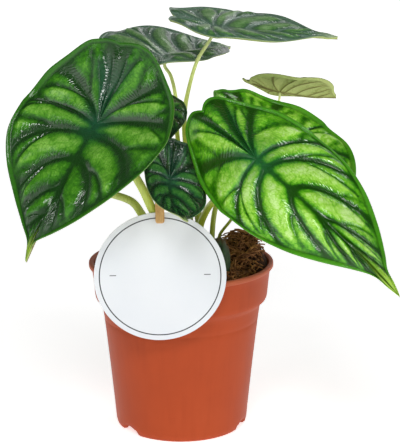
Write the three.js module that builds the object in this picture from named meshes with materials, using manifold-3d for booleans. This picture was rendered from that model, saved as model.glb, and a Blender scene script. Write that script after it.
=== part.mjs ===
// Dragon scale alocasia in a nursery pot: ribbed, shield-shaped leaves on bare stalks that stand in coir,
// and a round card held to one stalk by a small wooden peg.
// Frame: millimetres, +Z up, the floor at z = 0, the front of the plant towards -Y. The pieces are laid out
// from the pot's axis, and the whole is then moved so that its bounding box is centred over the origin.
import * as THREE from "three";
import { mergeVertices } from "three/addons/utils/BufferGeometryUtils.js";
import Module from "manifold-3d";

const wasm = await Module();
wasm.setup();

// Driving dimensions

const GAP = 0.3; // left between pieces that rest on one another

// The pot is the usual 12 cm thermoformed one, and everything else is scaled from its rim.
const POT = {
  rimRadius: 60,
  height: 110,
  lipHeight: 3,
  collarHeight: 24, // the wider band under the lip
  collarStep: 4.4, // how far the collar stands out of the body
  footRadius: 41.5,
  wall: 1.5,
  floor: 5, // underside of the pot's floor, above the feet
  archWidth: 17,
  archHeight: 5.5,
  archTurns: [-142, -22, 98], // degrees about Z
  drainRadius: 3.5,
  drainPitchRadius: 28,
};
const LATHE_STEPS = 40;

// The root ball stands above the rim, highest at the right.
const SOIL = {
  dome: 8,
  heap: 16.5,
  heapAt: [39.5, 6],
  heapSpread: [15, 22],
  edge: 104.5,
  lump: 1.3,
};
const SOIL_STEPS = 32;
const SOIL_RINGS = 7;

const CARD = { radius: 40.5, thickness: 0.6, centre: [-12, -61.6, 116], turn: 3 };

const PEG = {
  length: 26,
  width: 5.4,
  leg: 2.7, // thickness of a leg at the spring
  jaw: 1.7, // thickness of a leg at its tip
  mouth: 3.95, // half the opening that the card and a stalk hold apart
  flat: 9.5, // length of the jaw's flat inner face
  pivot: 14.5, // height of the spring above the tip
  coil: 0.6,
  wire: 0.26,
  grip: 6.6, // how far the jaws reach over the card
};

// The leaf

// Half the outline of a blade: across as a share of the half width, along as a share of the length.
// It starts at the notch behind the stalk and ends at the drip tip. notch deepens the first two points.
const OUTLINE = [
  [0, 0.03],
  [0.14, 0.022],
  [0.3, 0.02],
  [0.45, 0.034],
  [0.65, 0.1],
  [0.88, 0.198],
  [0.99, 0.325],
  [1, 0.4],
  [0.96, 0.528],
  [0.79, 0.65],
  [0.52, 0.762],
  [0.25, 0.855],
  [0.08, 0.914],
  [0.035, 0.961],
  [0, 1],
];
const NOTCH_DEPTH = [0.04, 0.012];
const WIDEST = 7; // the outline's widest point
const LAST = OUTLINE.length - 1;

// Seven ribs a side sink from the stalk or the midrib to the margin. The first list says where on the
// midrib they start, the second at which places of the outline they end, unless a leaf has its own places.
const RIB_STARTS = [0, 0, 0, 0.08, 0.27, 0.48, 0.65];
const RIB_ENDS = [1.1, 4.3, 6.6, 8.8, 10.1, 11, 11.9];
const ACROSS = [0, 0.13, 0.32, 0.5, 0.68, 0.84, 0.94, 1]; // rows of points from the midrib to the margin
const MARGIN_VEIN = 0.94; // the vein that runs along the margin

// Every leaf: where its stalk meets it, which way its tip heads (degrees about Z from +X), how far the tip
// dips and the blade rolls, its sizes, and how far its tip, back, folded sides and cupped sides bend away
// from its plane. behind is the share of the length that lies behind the stalk. shapes hold, for the right
// and the left side, how far its shoulder is drawn forward and how much its front half is widened. ribs hold
// the places where the ribs of these two sides end. panel is how high the blade swells between two ribs.
const LEAVES = [
  {
    name: "leaf_left_front",
    at: [-49.2, -64, 211.1],
    heading: -132.8,
    dip: 46.4,
    roll: -11.4,
    length: 144,
    right: 51.7,
    left: 55.8,
    behind: 0.36,
    shapes: [[0.036, 0.037], [0.024, -0.074]],
    ribs: [[0.9, 4.5, 6.4, 8.7, 10, 10.7, 11.4], [0.8, 4.2, 5.7, 8.8, 10.1, 11.2, 12.3]],
    tip: -10.3,
    back: 27,
    fold: -5.4,
    cup: 12.5,
    twist: -5.7,
    notch: 0.37,
    wave: 1,
    panel: 3.2,
    cells: 4,
    colour: 0x3f7a2a,
  },
  {
    name: "leaf_right_front",
    at: [45.2, -85, 194.1],
    heading: -47.7,
    dip: 24.2,
    roll: 42.5,
    length: 176.9,
    right: 34.6,
    left: 37.4,
    behind: 0.36,
    shapes: [[0.038, -0.01], [0.06, 0.104]],
    ribs: [[1, 4.6, 7.7, 9, 10.4, 11.1, 11.8], [2.6, 4.1, 7.5, 8.8, 10.1, 11.2, 12.3]],
    tip: -30.9,
    back: 7.7,
    fold: -23.6,
    cup: 7,
    twist: 15.1,
    notch: 1.26,
    wave: 1,
    panel: 3.4,
    cells: 4,
    colour: 0x5a9a35,
  },
  {
    name: "leaf_right_behind",
    at: [53, -36, 189.8],
    heading: -49,
    dip: 32.5,
    roll: 2.8,
    length: 137,
    right: 33.7,
    left: 44.6,
    behind: 0.37,
    shapes: [[0.012, 0], [0.027, 0.049]],
    tip: 8.1,
    back: 11.1,
    fold: 0,
    cup: 12,
    twist: -10,
    notch: 0,
    wave: 1,
    panel: 2.6,
    cells: 2,
    colour: 0x4f8f2c,
  },
  {
    name: "leaf_upper_left",
    at: [-10, 38, 237.2],
    heading: 54.9,
    dip: 0.8,
    roll: 8.9,
    length: 120.6,
    right: 34.3,
    left: 44.3,
    behind: 0.37,
    shapes: [[0, -0.024], [-0.015, 0.115]],
    tip: -0.2,
    back: -7.5,
    fold: 23.5,
    cup: -13.4,
    twist: -1.4,
    notch: 1,
    wave: 1,
    panel: 2.6,
    cells: 3,
    colour: 0x5d7a5c,
  },
  {
    name: "leaf_top",
    at: [20.8, 0, 262],
    heading: -7.4,
    dip: 6.6,
    roll: 5.8,
    length: 109.8,
    right: 34.3,
    left: 41.7,
    behind: 0.29,
    shapes: [[0.029, 0.02], [-0.01, 0.05]],
    tip: 3.2,
    back: 4,
    fold: 4.2,
    cup: -2,
    twist: -1.2,
    notch: 1.02,
    wave: 0.8,
    panel: 2.2,
    cells: 3,
    colour: 0x4d6b4e,
  },
  {
    name: "leaf_middle",
    at: [-5.7, -65.4, 177.7],
    heading: -92,
    dip: 43.6,
    roll: -26.7,
    length: 71.6,
    right: 17.5,
    left: 23,
    behind: 0.35,
    shapes: [[0.014, -0.003], [0.031, -0.015]],
    tip: 29.6,
    back: 11.4,
    fold: -3.5,
    cup: 5.6,
    twist: 0.1,
    notch: 0.12,
    wave: 0.8,
    panel: 2,
    cells: 3,
    colour: 0x24472f,
  },
  {
    name: "leaf_right_small",
    at: [63.9, 20, 218.2],
    heading: 26.1,
    dip: 13.5,
    roll: -20.3,
    length: 70.6,
    right: 29.1,
    left: 13.9,
    behind: 0.38,
    shapes: [[0.002, 0.166], [0.002, -0.008]],
    tip: 3.4,
    back: 2.7,
    fold: 8.4,
    cup: -5.9,
    twist: 3.3,
    notch: 0.6,
    wave: 0.5,
    panel: 1.3,
    cells: 2,
    colour: 0x7c8a58,
  },
  {
    name: "leaf_left_behind",
    at: [-14.1, -12, 209.3],
    heading: -91.5,
    dip: 23.5,
    roll: 6.5,
    length: 65,
    right: 22,
    left: 18,
    behind: 0.36,
    shapes: [[0, 0], [0, 0]],
    tip: -7,
    back: -1,
    fold: 1,
    cup: -3,
    twist: -2,
    notch: 0.5,
    wave: 0.5,
    panel: 1.6,
    cells: 2,
    colour: 0x2c4a2c,
  },
  {
    name: "leaf_left_low",
    at: [-62, -20, 168],
    heading: -165,
    dip: 35,
    roll: 0,
    length: 68,
    right: 25,
    left: 26,
    behind: 0.36,
    shapes: [[0, 0], [0, 0]],
    tip: -8,
    back: 2,
    fold: -3,
    cup: -2,
    twist: 0,
    notch: 0.6,
    wave: 0.6,
    panel: 1.8,
    cells: 2,
    colour: 0x35602c,
  },
];
const BLADE = 1; // thickness of a blade

// Every stalk: the leaf that it carries, where it leaves the coir, the points that it passes, and its
// radius at the bottom and the top. It meets its blade squarely from below.
const STALKS = [
  {
    leaf: "leaf_left_front",
    foot: [-2, -15],
    by: [
      [-8, -42, 132],
      [-10.4, -54, 142],
      [-13, -58.2, 150.3],
      [-17.3, -58.1, 159.3],
      [-22.4, -58, 170.5],
      [-31, -56, 184.5],
    ],
    radii: [3.3, 2.5],
  },
  {
    leaf: "leaf_left_low",
    foot: [-10, -7],
    by: [
      [-17, -19, 131],
      [-24, -32, 148.3],
      [-30, -33, 156.5],
    ],
    radii: [3.2, 2.3],
  },
  {
    leaf: "leaf_left_behind",
    foot: [-5, 2],
    by: [
      [-5, -1, 142],
      [-10, -4, 175],
    ],
    radii: [2.2, 1.3],
  },
  {
    leaf: "leaf_middle",
    foot: [5, -14],
    by: [
      [3, -28, 136],
      [-2, -46, 155],
      [-5, -58, 166],
    ],
    radii: [2.2, 1.4],
  },
  {
    leaf: "leaf_upper_left",
    foot: [6, 1],
    by: [
      [6, 0, 137],
      [1, 4, 170],
      [-2.2, 12, 190],
      [-3.5, 26, 213],
      [-7, 34, 226],
    ],
    radii: [2.5, 1.2],
  },
  {
    leaf: "leaf_top",
    foot: [13, -4],
    by: [
      [12, -3, 136],
      [6.5, 2, 168],
      [2.7, 8, 191],
      [2.6, 9, 206],
      [5.2, 6, 221],
      [10.8, 2, 240],
    ],
    radii: [3, 1.1],
  },
  {
    leaf: "leaf_right_front",
    foot: [12, -13],
    by: [
      [12, -18, 134],
      [17, -32, 151],
      [28, -67, 171],
    ],
    radii: [2.6, 1.8],
  },
  {
    leaf: "leaf_right_behind",
    foot: [20, -3],
    by: [
      [23, -3, 147],
      [34, -9, 166],
    ],
    radii: [1.9, 1.5],
  },
  {
    leaf: "leaf_right_small",
    foot: [25, 5],
    by: [
      [34, 4, 138],
      [48, 9, 168],
    ],
    radii: [1.1, 0.8],
  },
];
const STALK_DEPTH = 30; // how far a stalk stands in the coir
const STALK_SIDES = 7;
const STALK_STEPS = 15;

const SHEATH = { foot: [26.5, -33], height: 25, width: 10.6, thickness: 1.2, depth: 12 };

// Helpers

const degrees = THREE.MathUtils.degToRad;
const smooth = THREE.MathUtils.smoothstep;
const mix = THREE.MathUtils.lerp;

function bare(geometry) {
  geometry.deleteAttribute("normal");
  geometry.deleteAttribute("uv");
  const merged = mergeVertices(geometry, 1e-4);
  const kept = [];
  const { array } = merged.index;
  for (let i = 0; i < array.length; i += 3) {
    const [a, b, c] = array.slice(i, i + 3);
    if (a !== b && b !== c && c !== a) {
      kept.push(a, b, c);
    }
  }
  merged.setIndex(kept);
  return merged;
}

function solid(geometry) {
  const closed = bare(geometry);
  return new wasm.Manifold(
    new wasm.Mesh({
      numProp: 3,
      vertProperties: closed.attributes.position.array,
      triVerts: new Uint32Array(closed.index.array),
    }),
  );
}

function surface(body) {
  const mesh = body.getMesh();
  return new THREE.BufferGeometry()
    .setAttribute("position", new THREE.BufferAttribute(mesh.vertProperties, 3))
    .setIndex(new THREE.BufferAttribute(mesh.triVerts, 1));
}

// A closed surface from triangles given as triples of Vector3.
function fromTriangles(corners) {
  const geometry = new THREE.BufferGeometry().setFromPoints(corners);
  return bare(geometry);
}

// A closed body turned about Z from a closed profile of [radius, height] points.
function turned(profile, steps = LATHE_STEPS) {
  const points = profile.map(([r, z]) => new THREE.Vector2(r, z));
  return new THREE.LatheGeometry([...points, points[0]], steps).rotateX(Math.PI / 2);
}

// A round stalk along a curve, tapering from its first radius to its last.
function stalk(curve, [bottom, top], steps = STALK_STEPS, sides = STALK_SIDES) {
  const { normals, binormals } = curve.computeFrenetFrames(steps, false);
  const rings = normals.map((normal, i) => {
    const share = i / steps;
    const centre = curve.getPointAt(share);
    const radius = mix(bottom, top, smooth(share, 0, 1));
    return Array.from({ length: sides }, (_, k) => {
      const turn = (2 * Math.PI * k) / sides;
      return centre
        .clone()
        .addScaledVector(normal, radius * Math.cos(turn))
        .addScaledVector(binormals[i], radius * Math.sin(turn));
    });
  });
  const corners = [];
  for (let i = 0; i < steps; i += 1) {
    for (let k = 0; k < sides; k += 1) {
      const next = (k + 1) % sides;
      const [a, b, c, d] = [rings[i][k], rings[i][next], rings[i + 1][next], rings[i + 1][k]];
      corners.push(a, b, c, a, c, d);
    }
  }
  for (let k = 1; k < sides - 1; k += 1) {
    corners.push(rings[0][0], rings[0][k + 1], rings[0][k]);
    corners.push(rings[steps][0], rings[steps][k], rings[steps][k + 1]);
  }
  return fromTriangles(corners);
}

// Blades

// The axes of a blade: across to its right, along to its tip, and out of its upper face.
function bladeAxes({ heading, dip, roll }) {
  const turn = degrees(heading);
  const pitch = degrees(dip);
  const along = new THREE.Vector3(
    Math.cos(pitch) * Math.cos(turn),
    Math.cos(pitch) * Math.sin(turn),
    -Math.sin(pitch),
  );
  const across = new THREE.Vector3(Math.sin(turn), -Math.cos(turn), 0).applyAxisAngle(along, degrees(roll));
  return { across, along, out: new THREE.Vector3().crossVectors(across, along) };
}

// How far the bent blade stands off its plane at a point across and along it.
function bendOf(leaf, x, y) {
  const halfWidth = x > 0 ? leaf.right : leaf.left;
  const front = Math.max(y, 0) / (leaf.length * (1 - leaf.behind));
  const rear = Math.min(y, 0) / (leaf.length * leaf.behind);
  const side = Math.abs(x) / halfWidth;
  const ends = leaf.tip * front ** 2 + leaf.back * rear ** 2;
  const fold = leaf.fold * (Math.hypot(side, 0.12) - 0.12); // with a rounded bottom
  const cup = leaf.cup * side ** 2;
  const twist = leaf.twist * (x / halfWidth) * (y / (leaf.length * (1 - leaf.behind)));
  return ends + fold + cup + twist;
}

// The rows of a half blade, from the notch round to the tip: each ends at a place on the outline, starts
// at a share of the midrib, and lies a share of the way from one rib to the next.
function bladeRows({ cells, ribs = [RIB_ENDS, RIB_ENDS] }, side) {
  const ends = ribs[side > 0 ? 0 : 1];
  const knots = [[0, 0], ...ends.map((end, i) => [end, RIB_STARTS[i]]), [LAST, 1]];
  const rows = [];
  for (let k = 0; k + 1 < knots.length; k += 1) {
    const first = k === 0;
    const steps = first ? Math.max(1, cells / 2) : cells;
    for (let i = 0; i < steps; i += 1) {
      const share = i / steps;
      rows.push({
        place: mix(knots[k][0], knots[k + 1][0], share),
        start: mix(knots[k][1], knots[k + 1][1], share),
        between: first ? 0.5 + share / 2 : share,
      });
    }
  }
  rows.push({ place: LAST, start: 1, between: 0 });
  return rows;
}

// A point of the upper face, on a row at a share of the way from the midrib to the margin.
function bladePoint(leaf, curve, side, { place, start, between }, share) {
  const edge = curve.getPoint(place / LAST);
  const halfWidth = side > 0 ? leaf.right : leaf.left;
  const end = [edge.x * halfWidth, (edge.y - leaf.behind) * leaf.length];
  const from = start * (1 - leaf.behind) * leaf.length;
  // Rear ribs run almost straight, the middle ones arch to the rear, and the forward ones leave the midrib
  // squarely and then curve towards the tip.
  const bow = mix(0.28, 0.82, smooth(place, 4, 8.5)) - 0.2 * smooth(place, 10.2, 11.5);
  const sweep = mix(0.5, 0.05, smooth(place, 5, 8.5)) + 0.3 * smooth(place, 9.8, 11.5);
  const arch = 0.15 * smooth(place, 3, 5.5) * (1 - smooth(place, 7.5, 9.5));
  const control = [bow * end[0], mix(from, end[1], sweep) - arch * end[0]];
  const rest = 1 - share;
  const x = 2 * rest * share * control[0] + share ** 2 * end[0];
  const y = rest ** 2 * from + 2 * rest * share * control[1] + share ** 2 * end[1];
  const swell = Math.sin(Math.PI * between) ** 0.7;
  const spread = smooth(share, 0, 0.34) * (1 - smooth(share, 0.78, MARGIN_VEIN));
  const crease = 0.25 * smooth(share, 0.4, 0.7) * (1 - smooth(Math.abs(between - 0.5), 0, 0.2));
  const narrow = 1 - 0.6 * smooth(start, 0.6, 1);
  const relief = leaf.panel * (swell - crease) * spread * narrow;
  const edgeLift = 0.5 * smooth(share, MARGIN_VEIN, 1);
  const inEnds = smooth(place, 0, 2) * smooth(LAST - place, 0, 2);
  const wave = leaf.wave * Math.sin(place * 1.7 + side) * smooth(share, 0.6, 1) * inEnds;
  return [side * x, y, bendOf(leaf, side * x, y) + relief + edgeLift + wave];
}

// One side's outline, from the notch round to the tip.
function outlineOf({ notch, shapes }, side) {
  const [shoulder, widening] = shapes[side > 0 ? 0 : 1];
  const points = OUTLINE.map(([u, v], i) => {
    const inBack = i < WIDEST ? Math.sin((Math.PI * i) / WIDEST) : 0;
    const inFront = i > WIDEST ? Math.sin((Math.PI * (i - WIDEST)) / (LAST - WIDEST)) : 0;
    return new THREE.Vector2(u + widening * inFront, v + notch * (NOTCH_DEPTH[i] ?? 0) + shoulder * inBack);
  });
  return new THREE.SplineCurve(points);
}

function blade(leaf) {
  const { across, along, out } = bladeAxes(leaf);
  const origin = new THREE.Vector3(...leaf.at);
  const corners = [];
  for (const side of [1, -1]) {
    const rows = bladeRows(leaf, side);
    const curve = outlineOf(leaf, side);
    const upper = rows.map((row) =>
      ACROSS.map((share) => {
        const [x, y, z] = bladePoint(leaf, curve, side, row, share);
        return origin.clone().addScaledVector(across, x).addScaledVector(along, y).addScaledVector(out, z);
      }),
    );
    const lower = upper.map((row) => row.map((point) => point.clone().addScaledVector(out, -BLADE)));
    const face = (a, b, c) => (side > 0 ? corners.push(a, b, c) : corners.push(a, c, b));
    const outer = ACROSS.length - 1;
    for (let i = 0; i + 1 < rows.length; i += 1) {
      for (let j = 0; j < outer; j += 1) {
        face(upper[i][j], upper[i][j + 1], upper[i + 1][j + 1]);
        face(upper[i][j], upper[i + 1][j + 1], upper[i + 1][j]);
        face(lower[i][j], lower[i + 1][j + 1], lower[i][j + 1]);
        face(lower[i][j], lower[i + 1][j], lower[i + 1][j + 1]);
      }
      face(upper[i][outer], lower[i][outer], lower[i + 1][outer]);
      face(upper[i][outer], lower[i + 1][outer], upper[i + 1][outer]);
    }
  }
  return fromTriangles(corners);
}

// Stalks

const soilTop = (x, y) => {
  const r = Math.hypot(x, y);
  const [hx, hy] = SOIL.heapAt;
  const [sx, sy] = SOIL.heapSpread;
  const dome = SOIL.dome * (1 - (r / 55) ** 2);
  const heap = SOIL.heap * Math.exp(-(((x - hx) / sx) ** 2) - ((y - hy) / sy) ** 2);
  const broad = Math.sin(0.31 * x + 0.17 * y) * Math.cos(0.27 * y - 0.12 * x + 1);
  const fine = Math.sin(0.45 * x + 0.7 * y);
  return SOIL.edge + dome + heap + SOIL.lump * (broad + 0.6 * fine) * smooth(55 - r, 0, 12);
};

function stalkCurve({ leaf, foot, by }, depth = STALK_DEPTH) {
  const blade = LEAVES.find(({ name }) => name === leaf);
  const { out } = bladeAxes(blade);
  const at = new THREE.Vector3(...blade.at);
  const ground = new THREE.Vector3(foot[0], foot[1], soilTop(...foot));
  return new THREE.CatmullRomCurve3(
    [
      ground.clone().setZ(ground.z - depth),
      ground,
      ground.clone().setZ(ground.z + 6),
      ...by.map((point) => new THREE.Vector3(...point)),
      at.clone().addScaledVector(out, -5 - BLADE),
      at.clone().addScaledVector(out, -BLADE - 3 * GAP),
    ],
    false,
    "centripetal",
  );
}

// Pot

const bodyTop = POT.height - POT.collarHeight - 3;
const bodyRadius = POT.rimRadius - POT.collarStep - 4;
const inner = [
  [POT.footRadius - 1.1, POT.floor + POT.wall],
  [bodyRadius - POT.wall, bodyTop],
  [bodyRadius + POT.collarStep - POT.wall, bodyTop + 5],
  [POT.rimRadius - 3.2, POT.height - POT.lipHeight - 1],
];
const potProfile = [
  [0, POT.floor],
  [POT.footRadius - 3, POT.floor],
  [POT.footRadius - 3, 0],
  [POT.footRadius, 0],
  [POT.footRadius + 1.2, 1.2],
  [POT.footRadius + 1.8, 4],
  [bodyRadius, bodyTop - 1],
  [bodyRadius + POT.collarStep, bodyTop + 4],
  [POT.rimRadius - 1.7, POT.height - POT.lipHeight],
  [POT.rimRadius, POT.height - POT.lipHeight + 0.3],
  [POT.rimRadius, POT.height - 0.6],
  [POT.rimRadius - 0.7, POT.height],
  [POT.rimRadius - 2.8, POT.height],
  ...inner.slice().reverse(),
  [0, POT.floor + POT.wall],
];

function potBody() {
  let body = solid(turned(potProfile));
  for (const turn of POT.archTurns) {
    const arch = new THREE.CylinderGeometry(POT.archWidth / 2, POT.archWidth / 2, 12, 20)
      .rotateZ(Math.PI / 2)
      .scale(1, 1, (2 * POT.archHeight) / POT.archWidth)
      .translate(POT.footRadius, 0, 0)
      .rotateZ(degrees(turn));
    const drain = new THREE.CylinderGeometry(POT.drainRadius, POT.drainRadius, 6, 16)
      .rotateX(Math.PI / 2)
      .translate(POT.drainPitchRadius, 0, POT.floor + POT.wall / 2)
      .rotateZ(degrees(turn));
    body = body.subtract(solid(arch)).subtract(solid(drain));
  }
  return surface(body);
}

// Coir

function coir(holes) {
  const wall = inner.map(([r, z]) => [r - 1.3 * GAP, z + GAP]);
  const edge = wall.at(-1)[0] - 0.4;
  const ring = (radius, height) =>
    Array.from({ length: SOIL_STEPS }, (_, k) => {
      const turn = (2 * Math.PI * k) / SOIL_STEPS;
      const [x, y] = [radius * Math.cos(turn), radius * Math.sin(turn)];
      return new THREE.Vector3(x, y, height ?? soilTop(x, y));
    });
  const rings = [
    ...Array.from({ length: SOIL_RINGS }, (_, i) => ring((edge * (i + 1)) / SOIL_RINGS)),
    ...wall.slice(0, -1).reverse().map(([r, z]) => ring(r, z)),
  ];
  const crown = new THREE.Vector3(0, 0, soilTop(0, 0));
  const base = new THREE.Vector3(0, 0, wall[0][1]);
  const corners = [];
  for (let k = 0; k < SOIL_STEPS; k += 1) {
    const next = (k + 1) % SOIL_STEPS;
    corners.push(crown, rings[0][k], rings[0][next]);
    for (let i = 0; i + 1 < rings.length; i += 1) {
      const [a, b, c, d] = [rings[i][k], rings[i + 1][k], rings[i + 1][next], rings[i][next]];
      corners.push(a, b, c, a, c, d);
    }
    corners.push(base, rings.at(-1)[next], rings.at(-1)[k]);
  }
  return surface(holes.reduce((body, hole) => body.subtract(hole), solid(fromTriangles(corners))));
}

// The plain hole that a stalk stands in: the stalk itself, a little fatter and deeper.
function stalkHole(item) {
  const [bottom, top] = item.radii;
  const room = 1.5 * GAP;
  return solid(stalk(stalkCurve(item, STALK_DEPTH + GAP), [bottom + room, top + room]));
}

// Old leaf base

function sheathShape(grow = 0) {
  const half = SHEATH.width / 2 + grow;
  const front = SHEATH.thickness - grow;
  const back = SHEATH.thickness + 1.2 + grow;
  const shape = new THREE.Shape();
  shape.moveTo(-half, front + 1.6);
  shape.quadraticCurveTo(0, front - 3.4, half, front + 1.6);
  shape.lineTo(half, back + 1.6 + 2 * grow);
  shape.quadraticCurveTo(0, back - 3.4, -half, back + 1.6 + 2 * grow);
  shape.closePath();
  return shape;
}

function sheath(grow = 0) {
  const [x, y] = SHEATH.foot;
  const ground = soilTop(x, y);
  const height = grow > 0 ? SHEATH.depth + GAP + 25 : SHEATH.height + SHEATH.depth;
  const geometry = new THREE.ExtrudeGeometry(sheathShape(grow), {
    depth: height,
    bevelEnabled: false,
    curveSegments: 6,
  });
  return geometry.translate(x, y, ground - SHEATH.depth - (grow > 0 ? GAP : 0));
}

// Peg

// The peg's own frame: X out of the card's face from the plane between the legs, Y along the peg's width,
// Z up from the tips of the jaws.
function pegPlace() {
  const turn = new THREE.Matrix4().makeRotationZ(degrees(CARD.turn));
  const depth = CARD.thickness / 2 + GAP - PEG.mouth;
  const front = new THREE.Vector3(0, -depth, 0).applyMatrix4(turn);
  const foot = new THREE.Vector3(...CARD.centre).add(front).setZ(CARD.centre[2] + CARD.radius - PEG.grip);
  return turn.multiply(new THREE.Matrix4().makeRotationZ(-Math.PI / 2)).setPosition(foot);
}

// The peg seen from the front, with rounded tips, as a block to cut its legs to.
function pegFront() {
  const half = PEG.width / 2;
  const round = 0.75 * half;
  const shape = new THREE.Shape();
  shape.moveTo(-half - 0.1, PEG.length + 1);
  shape.lineTo(-half - 0.1, 4);
  shape.lineTo(-half, round);
  shape.quadraticCurveTo(-half, 0, -half + round, 0);
  shape.lineTo(half - round, 0);
  shape.quadraticCurveTo(half, 0, half, round);
  shape.lineTo(half + 0.1, 4);
  shape.lineTo(half + 0.1, PEG.length + 1);
  shape.closePath();
  const reach = 2 * (PEG.mouth + PEG.leg);
  return new THREE.ExtrudeGeometry(shape, { depth: 2 * reach, bevelEnabled: false, curveSegments: 5 })
    .rotateX(Math.PI / 2)
    .rotateZ(Math.PI / 2)
    .translate(-reach, 0, 0);
}

function pegLeg() {
  const { length, jaw, leg, mouth, flat, pivot } = PEG;
  const waist = PEG.coil + PEG.wire + 1.7 * GAP;
  const shape = new THREE.Shape();
  shape.moveTo(mouth, 0.5);
  shape.lineTo(mouth, flat);
  shape.lineTo(waist, pivot - 1.4);
  shape.lineTo(waist, pivot + 1.4);
  shape.lineTo(0.5, length);
  shape.lineTo(0.5 + 0.8 * leg, length);
  shape.lineTo(waist + leg, pivot);
  shape.lineTo(mouth + jaw, 2);
  shape.quadraticCurveTo(mouth + jaw, 0, mouth + 0.4 * jaw, 0);
  shape.closePath();
  const plain = new THREE.ExtrudeGeometry(shape, { depth: PEG.width, bevelEnabled: false, curveSegments: 4 })
    .rotateX(Math.PI / 2)
    .translate(0, PEG.width / 2, 0);
  return surface(solid(plain).intersect(solid(pegFront())));
}

// The wire: over the front leg, down its side, round the coil between the legs, and over the rear leg.
function pegSpring() {
  const side = PEG.width / 2 + PEG.wire + 1.3 * GAP;
  const out = PEG.coil + 2 * PEG.wire + 3.4 * GAP + PEG.leg;
  const arm = [
    [out, 0, 0],
    [out, 0.7 * side, 0],
    [out - 0.5, side, 0],
    [1.5, side, 0],
  ];
  const turns = 3;
  const steps = 8 * turns;
  const coil = Array.from({ length: steps + 1 }, (_, i) => {
    const angle = Math.PI / 2 + (2 * Math.PI * turns * i) / steps + (Math.PI * i) / steps;
    const y = mix(side, -side, i / steps);
    return [PEG.coil * Math.cos(angle), y, PEG.coil * Math.sin(angle)];
  });
  const rest = arm.map(([x, y, z]) => [-x, -y, z]).reverse();
  const points = [...arm, ...coil, ...rest].map(([x, y, z]) => new THREE.Vector3(x, y, z + PEG.pivot));
  return stalk(new THREE.CatmullRomCurve3(points), [PEG.wire, PEG.wire], 48, 5);
}

// The scene

const group = new THREE.Group();
group.name = "dragon_scale_alocasia";
const plant = new THREE.Group();
group.add(plant);

function add(name, geometry, colour, roughness, place) {
  const material = new THREE.MeshStandardMaterial({ color: colour, roughness, metalness: 0 });
  const mesh = new THREE.Mesh(geometry, material);
  mesh.name = name;
  if (place) {
    mesh.applyMatrix4(place);
  }
  plant.add(mesh);
  return mesh;
}

add("pot", potBody(), 0xb5593a, 0.62);

for (const leaf of LEAVES) {
  add(leaf.name, blade(leaf), leaf.colour, 0.35);
}
for (const item of STALKS) {
  add(item.leaf.replace("leaf", "stalk"), stalk(stalkCurve(item), item.radii), 0x8a9433, 0.5);
}
add("leaf_base_old", sheath(), 0x23401c, 0.6);
add("coir", coir([...STALKS.map(stalkHole), solid(sheath(GAP))]), 0x4a3020, 0.95);

add(
  "card",
  new THREE.CylinderGeometry(CARD.radius, CARD.radius, CARD.thickness, 64),
  0xeef1f3,
  0.55,
  new THREE.Matrix4().makeRotationZ(degrees(CARD.turn)).setPosition(...CARD.centre),
);
add("peg_front_leg", pegLeg(), 0xc89a6a, 0.7, pegPlace());
add("peg_rear_leg", pegLeg().rotateZ(Math.PI), 0xc89a6a, 0.7, pegPlace());
add("peg_spring", pegSpring(), 0x9aa0a4, 0.4, pegPlace()).material.metalness = 1;

// The bounding box stands centred on the origin.
const bounds = new THREE.Box3().setFromObject(plant);
const centre = bounds.getCenter(new THREE.Vector3());
plant.position.set(-centre.x, -centre.y, -bounds.min.z);

export default group;
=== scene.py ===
# %% [markdown]
# # A dragon scale alocasia in its nursery pot
# The plant is a small aroid: thick, shield-shaped blades on bare stalks, quilted between sunken ribs.
# It stands in a terracotta-coloured plastic pot filled with coir, and a round card is pegged to one stalk.
# The solid model underneath gives every place and size; here each piece gets its fine shape and finish.

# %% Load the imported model
import math
from contextlib import contextmanager

import bmesh
import bpy
import numpy as np
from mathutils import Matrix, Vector, noise


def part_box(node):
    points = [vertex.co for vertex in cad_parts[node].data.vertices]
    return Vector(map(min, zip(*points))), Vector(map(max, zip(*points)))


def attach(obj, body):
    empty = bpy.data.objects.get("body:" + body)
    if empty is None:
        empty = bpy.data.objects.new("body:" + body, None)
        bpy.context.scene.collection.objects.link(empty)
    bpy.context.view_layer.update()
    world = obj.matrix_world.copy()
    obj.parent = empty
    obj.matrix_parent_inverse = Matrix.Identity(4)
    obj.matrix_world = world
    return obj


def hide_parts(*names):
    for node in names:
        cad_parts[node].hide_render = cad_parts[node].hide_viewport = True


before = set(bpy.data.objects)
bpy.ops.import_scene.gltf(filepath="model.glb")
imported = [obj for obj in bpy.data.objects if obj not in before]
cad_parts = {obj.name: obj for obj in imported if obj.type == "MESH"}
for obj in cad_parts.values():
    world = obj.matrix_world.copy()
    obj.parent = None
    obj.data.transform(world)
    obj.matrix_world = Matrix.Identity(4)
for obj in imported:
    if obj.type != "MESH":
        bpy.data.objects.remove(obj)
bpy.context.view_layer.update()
pot_low, pot_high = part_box("pot")
pot_axis = np.array([(pot_low.x + pot_high.x) / 2, (pot_low.y + pot_high.y) / 2, 0.0])

# %% [markdown]
# ## Working frame
# All shapes are worked out in millimetres from the pot's axis, because those are handy numbers for a plant.
# One helper turns such points into a mesh in metres at its real place, so every object can stay at the
# origin and a pattern on object coordinates can't slide. Another closes the mesh, turns its faces outwards
# and hides the solid that the piece takes the place of.

# %% Make a mesh from points in millimetres
def put(points):
    """Millimetres from the pot's axis to metres in the model's frame."""
    return np.asarray(points, float) / 1000 + pot_axis


def shape(name, points, faces, **zones):
    """A mesh, with one number per point under each zone's name for its material to read."""
    mesh = bpy.data.meshes.new(name)
    mesh.from_pydata(put(points).tolist(), [], [[int(i) for i in face] for face in faces])
    for key, numbers in zones.items():
        layer = mesh.attributes.new(key, "FLOAT", "POINT")
        layer.data.foreach_set("value", np.ascontiguousarray(numbers, np.float32))
    return mesh


# %% Faces of a grid
FLIP = [0, 3, 2, 1]  # the same face seen from its other side


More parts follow.
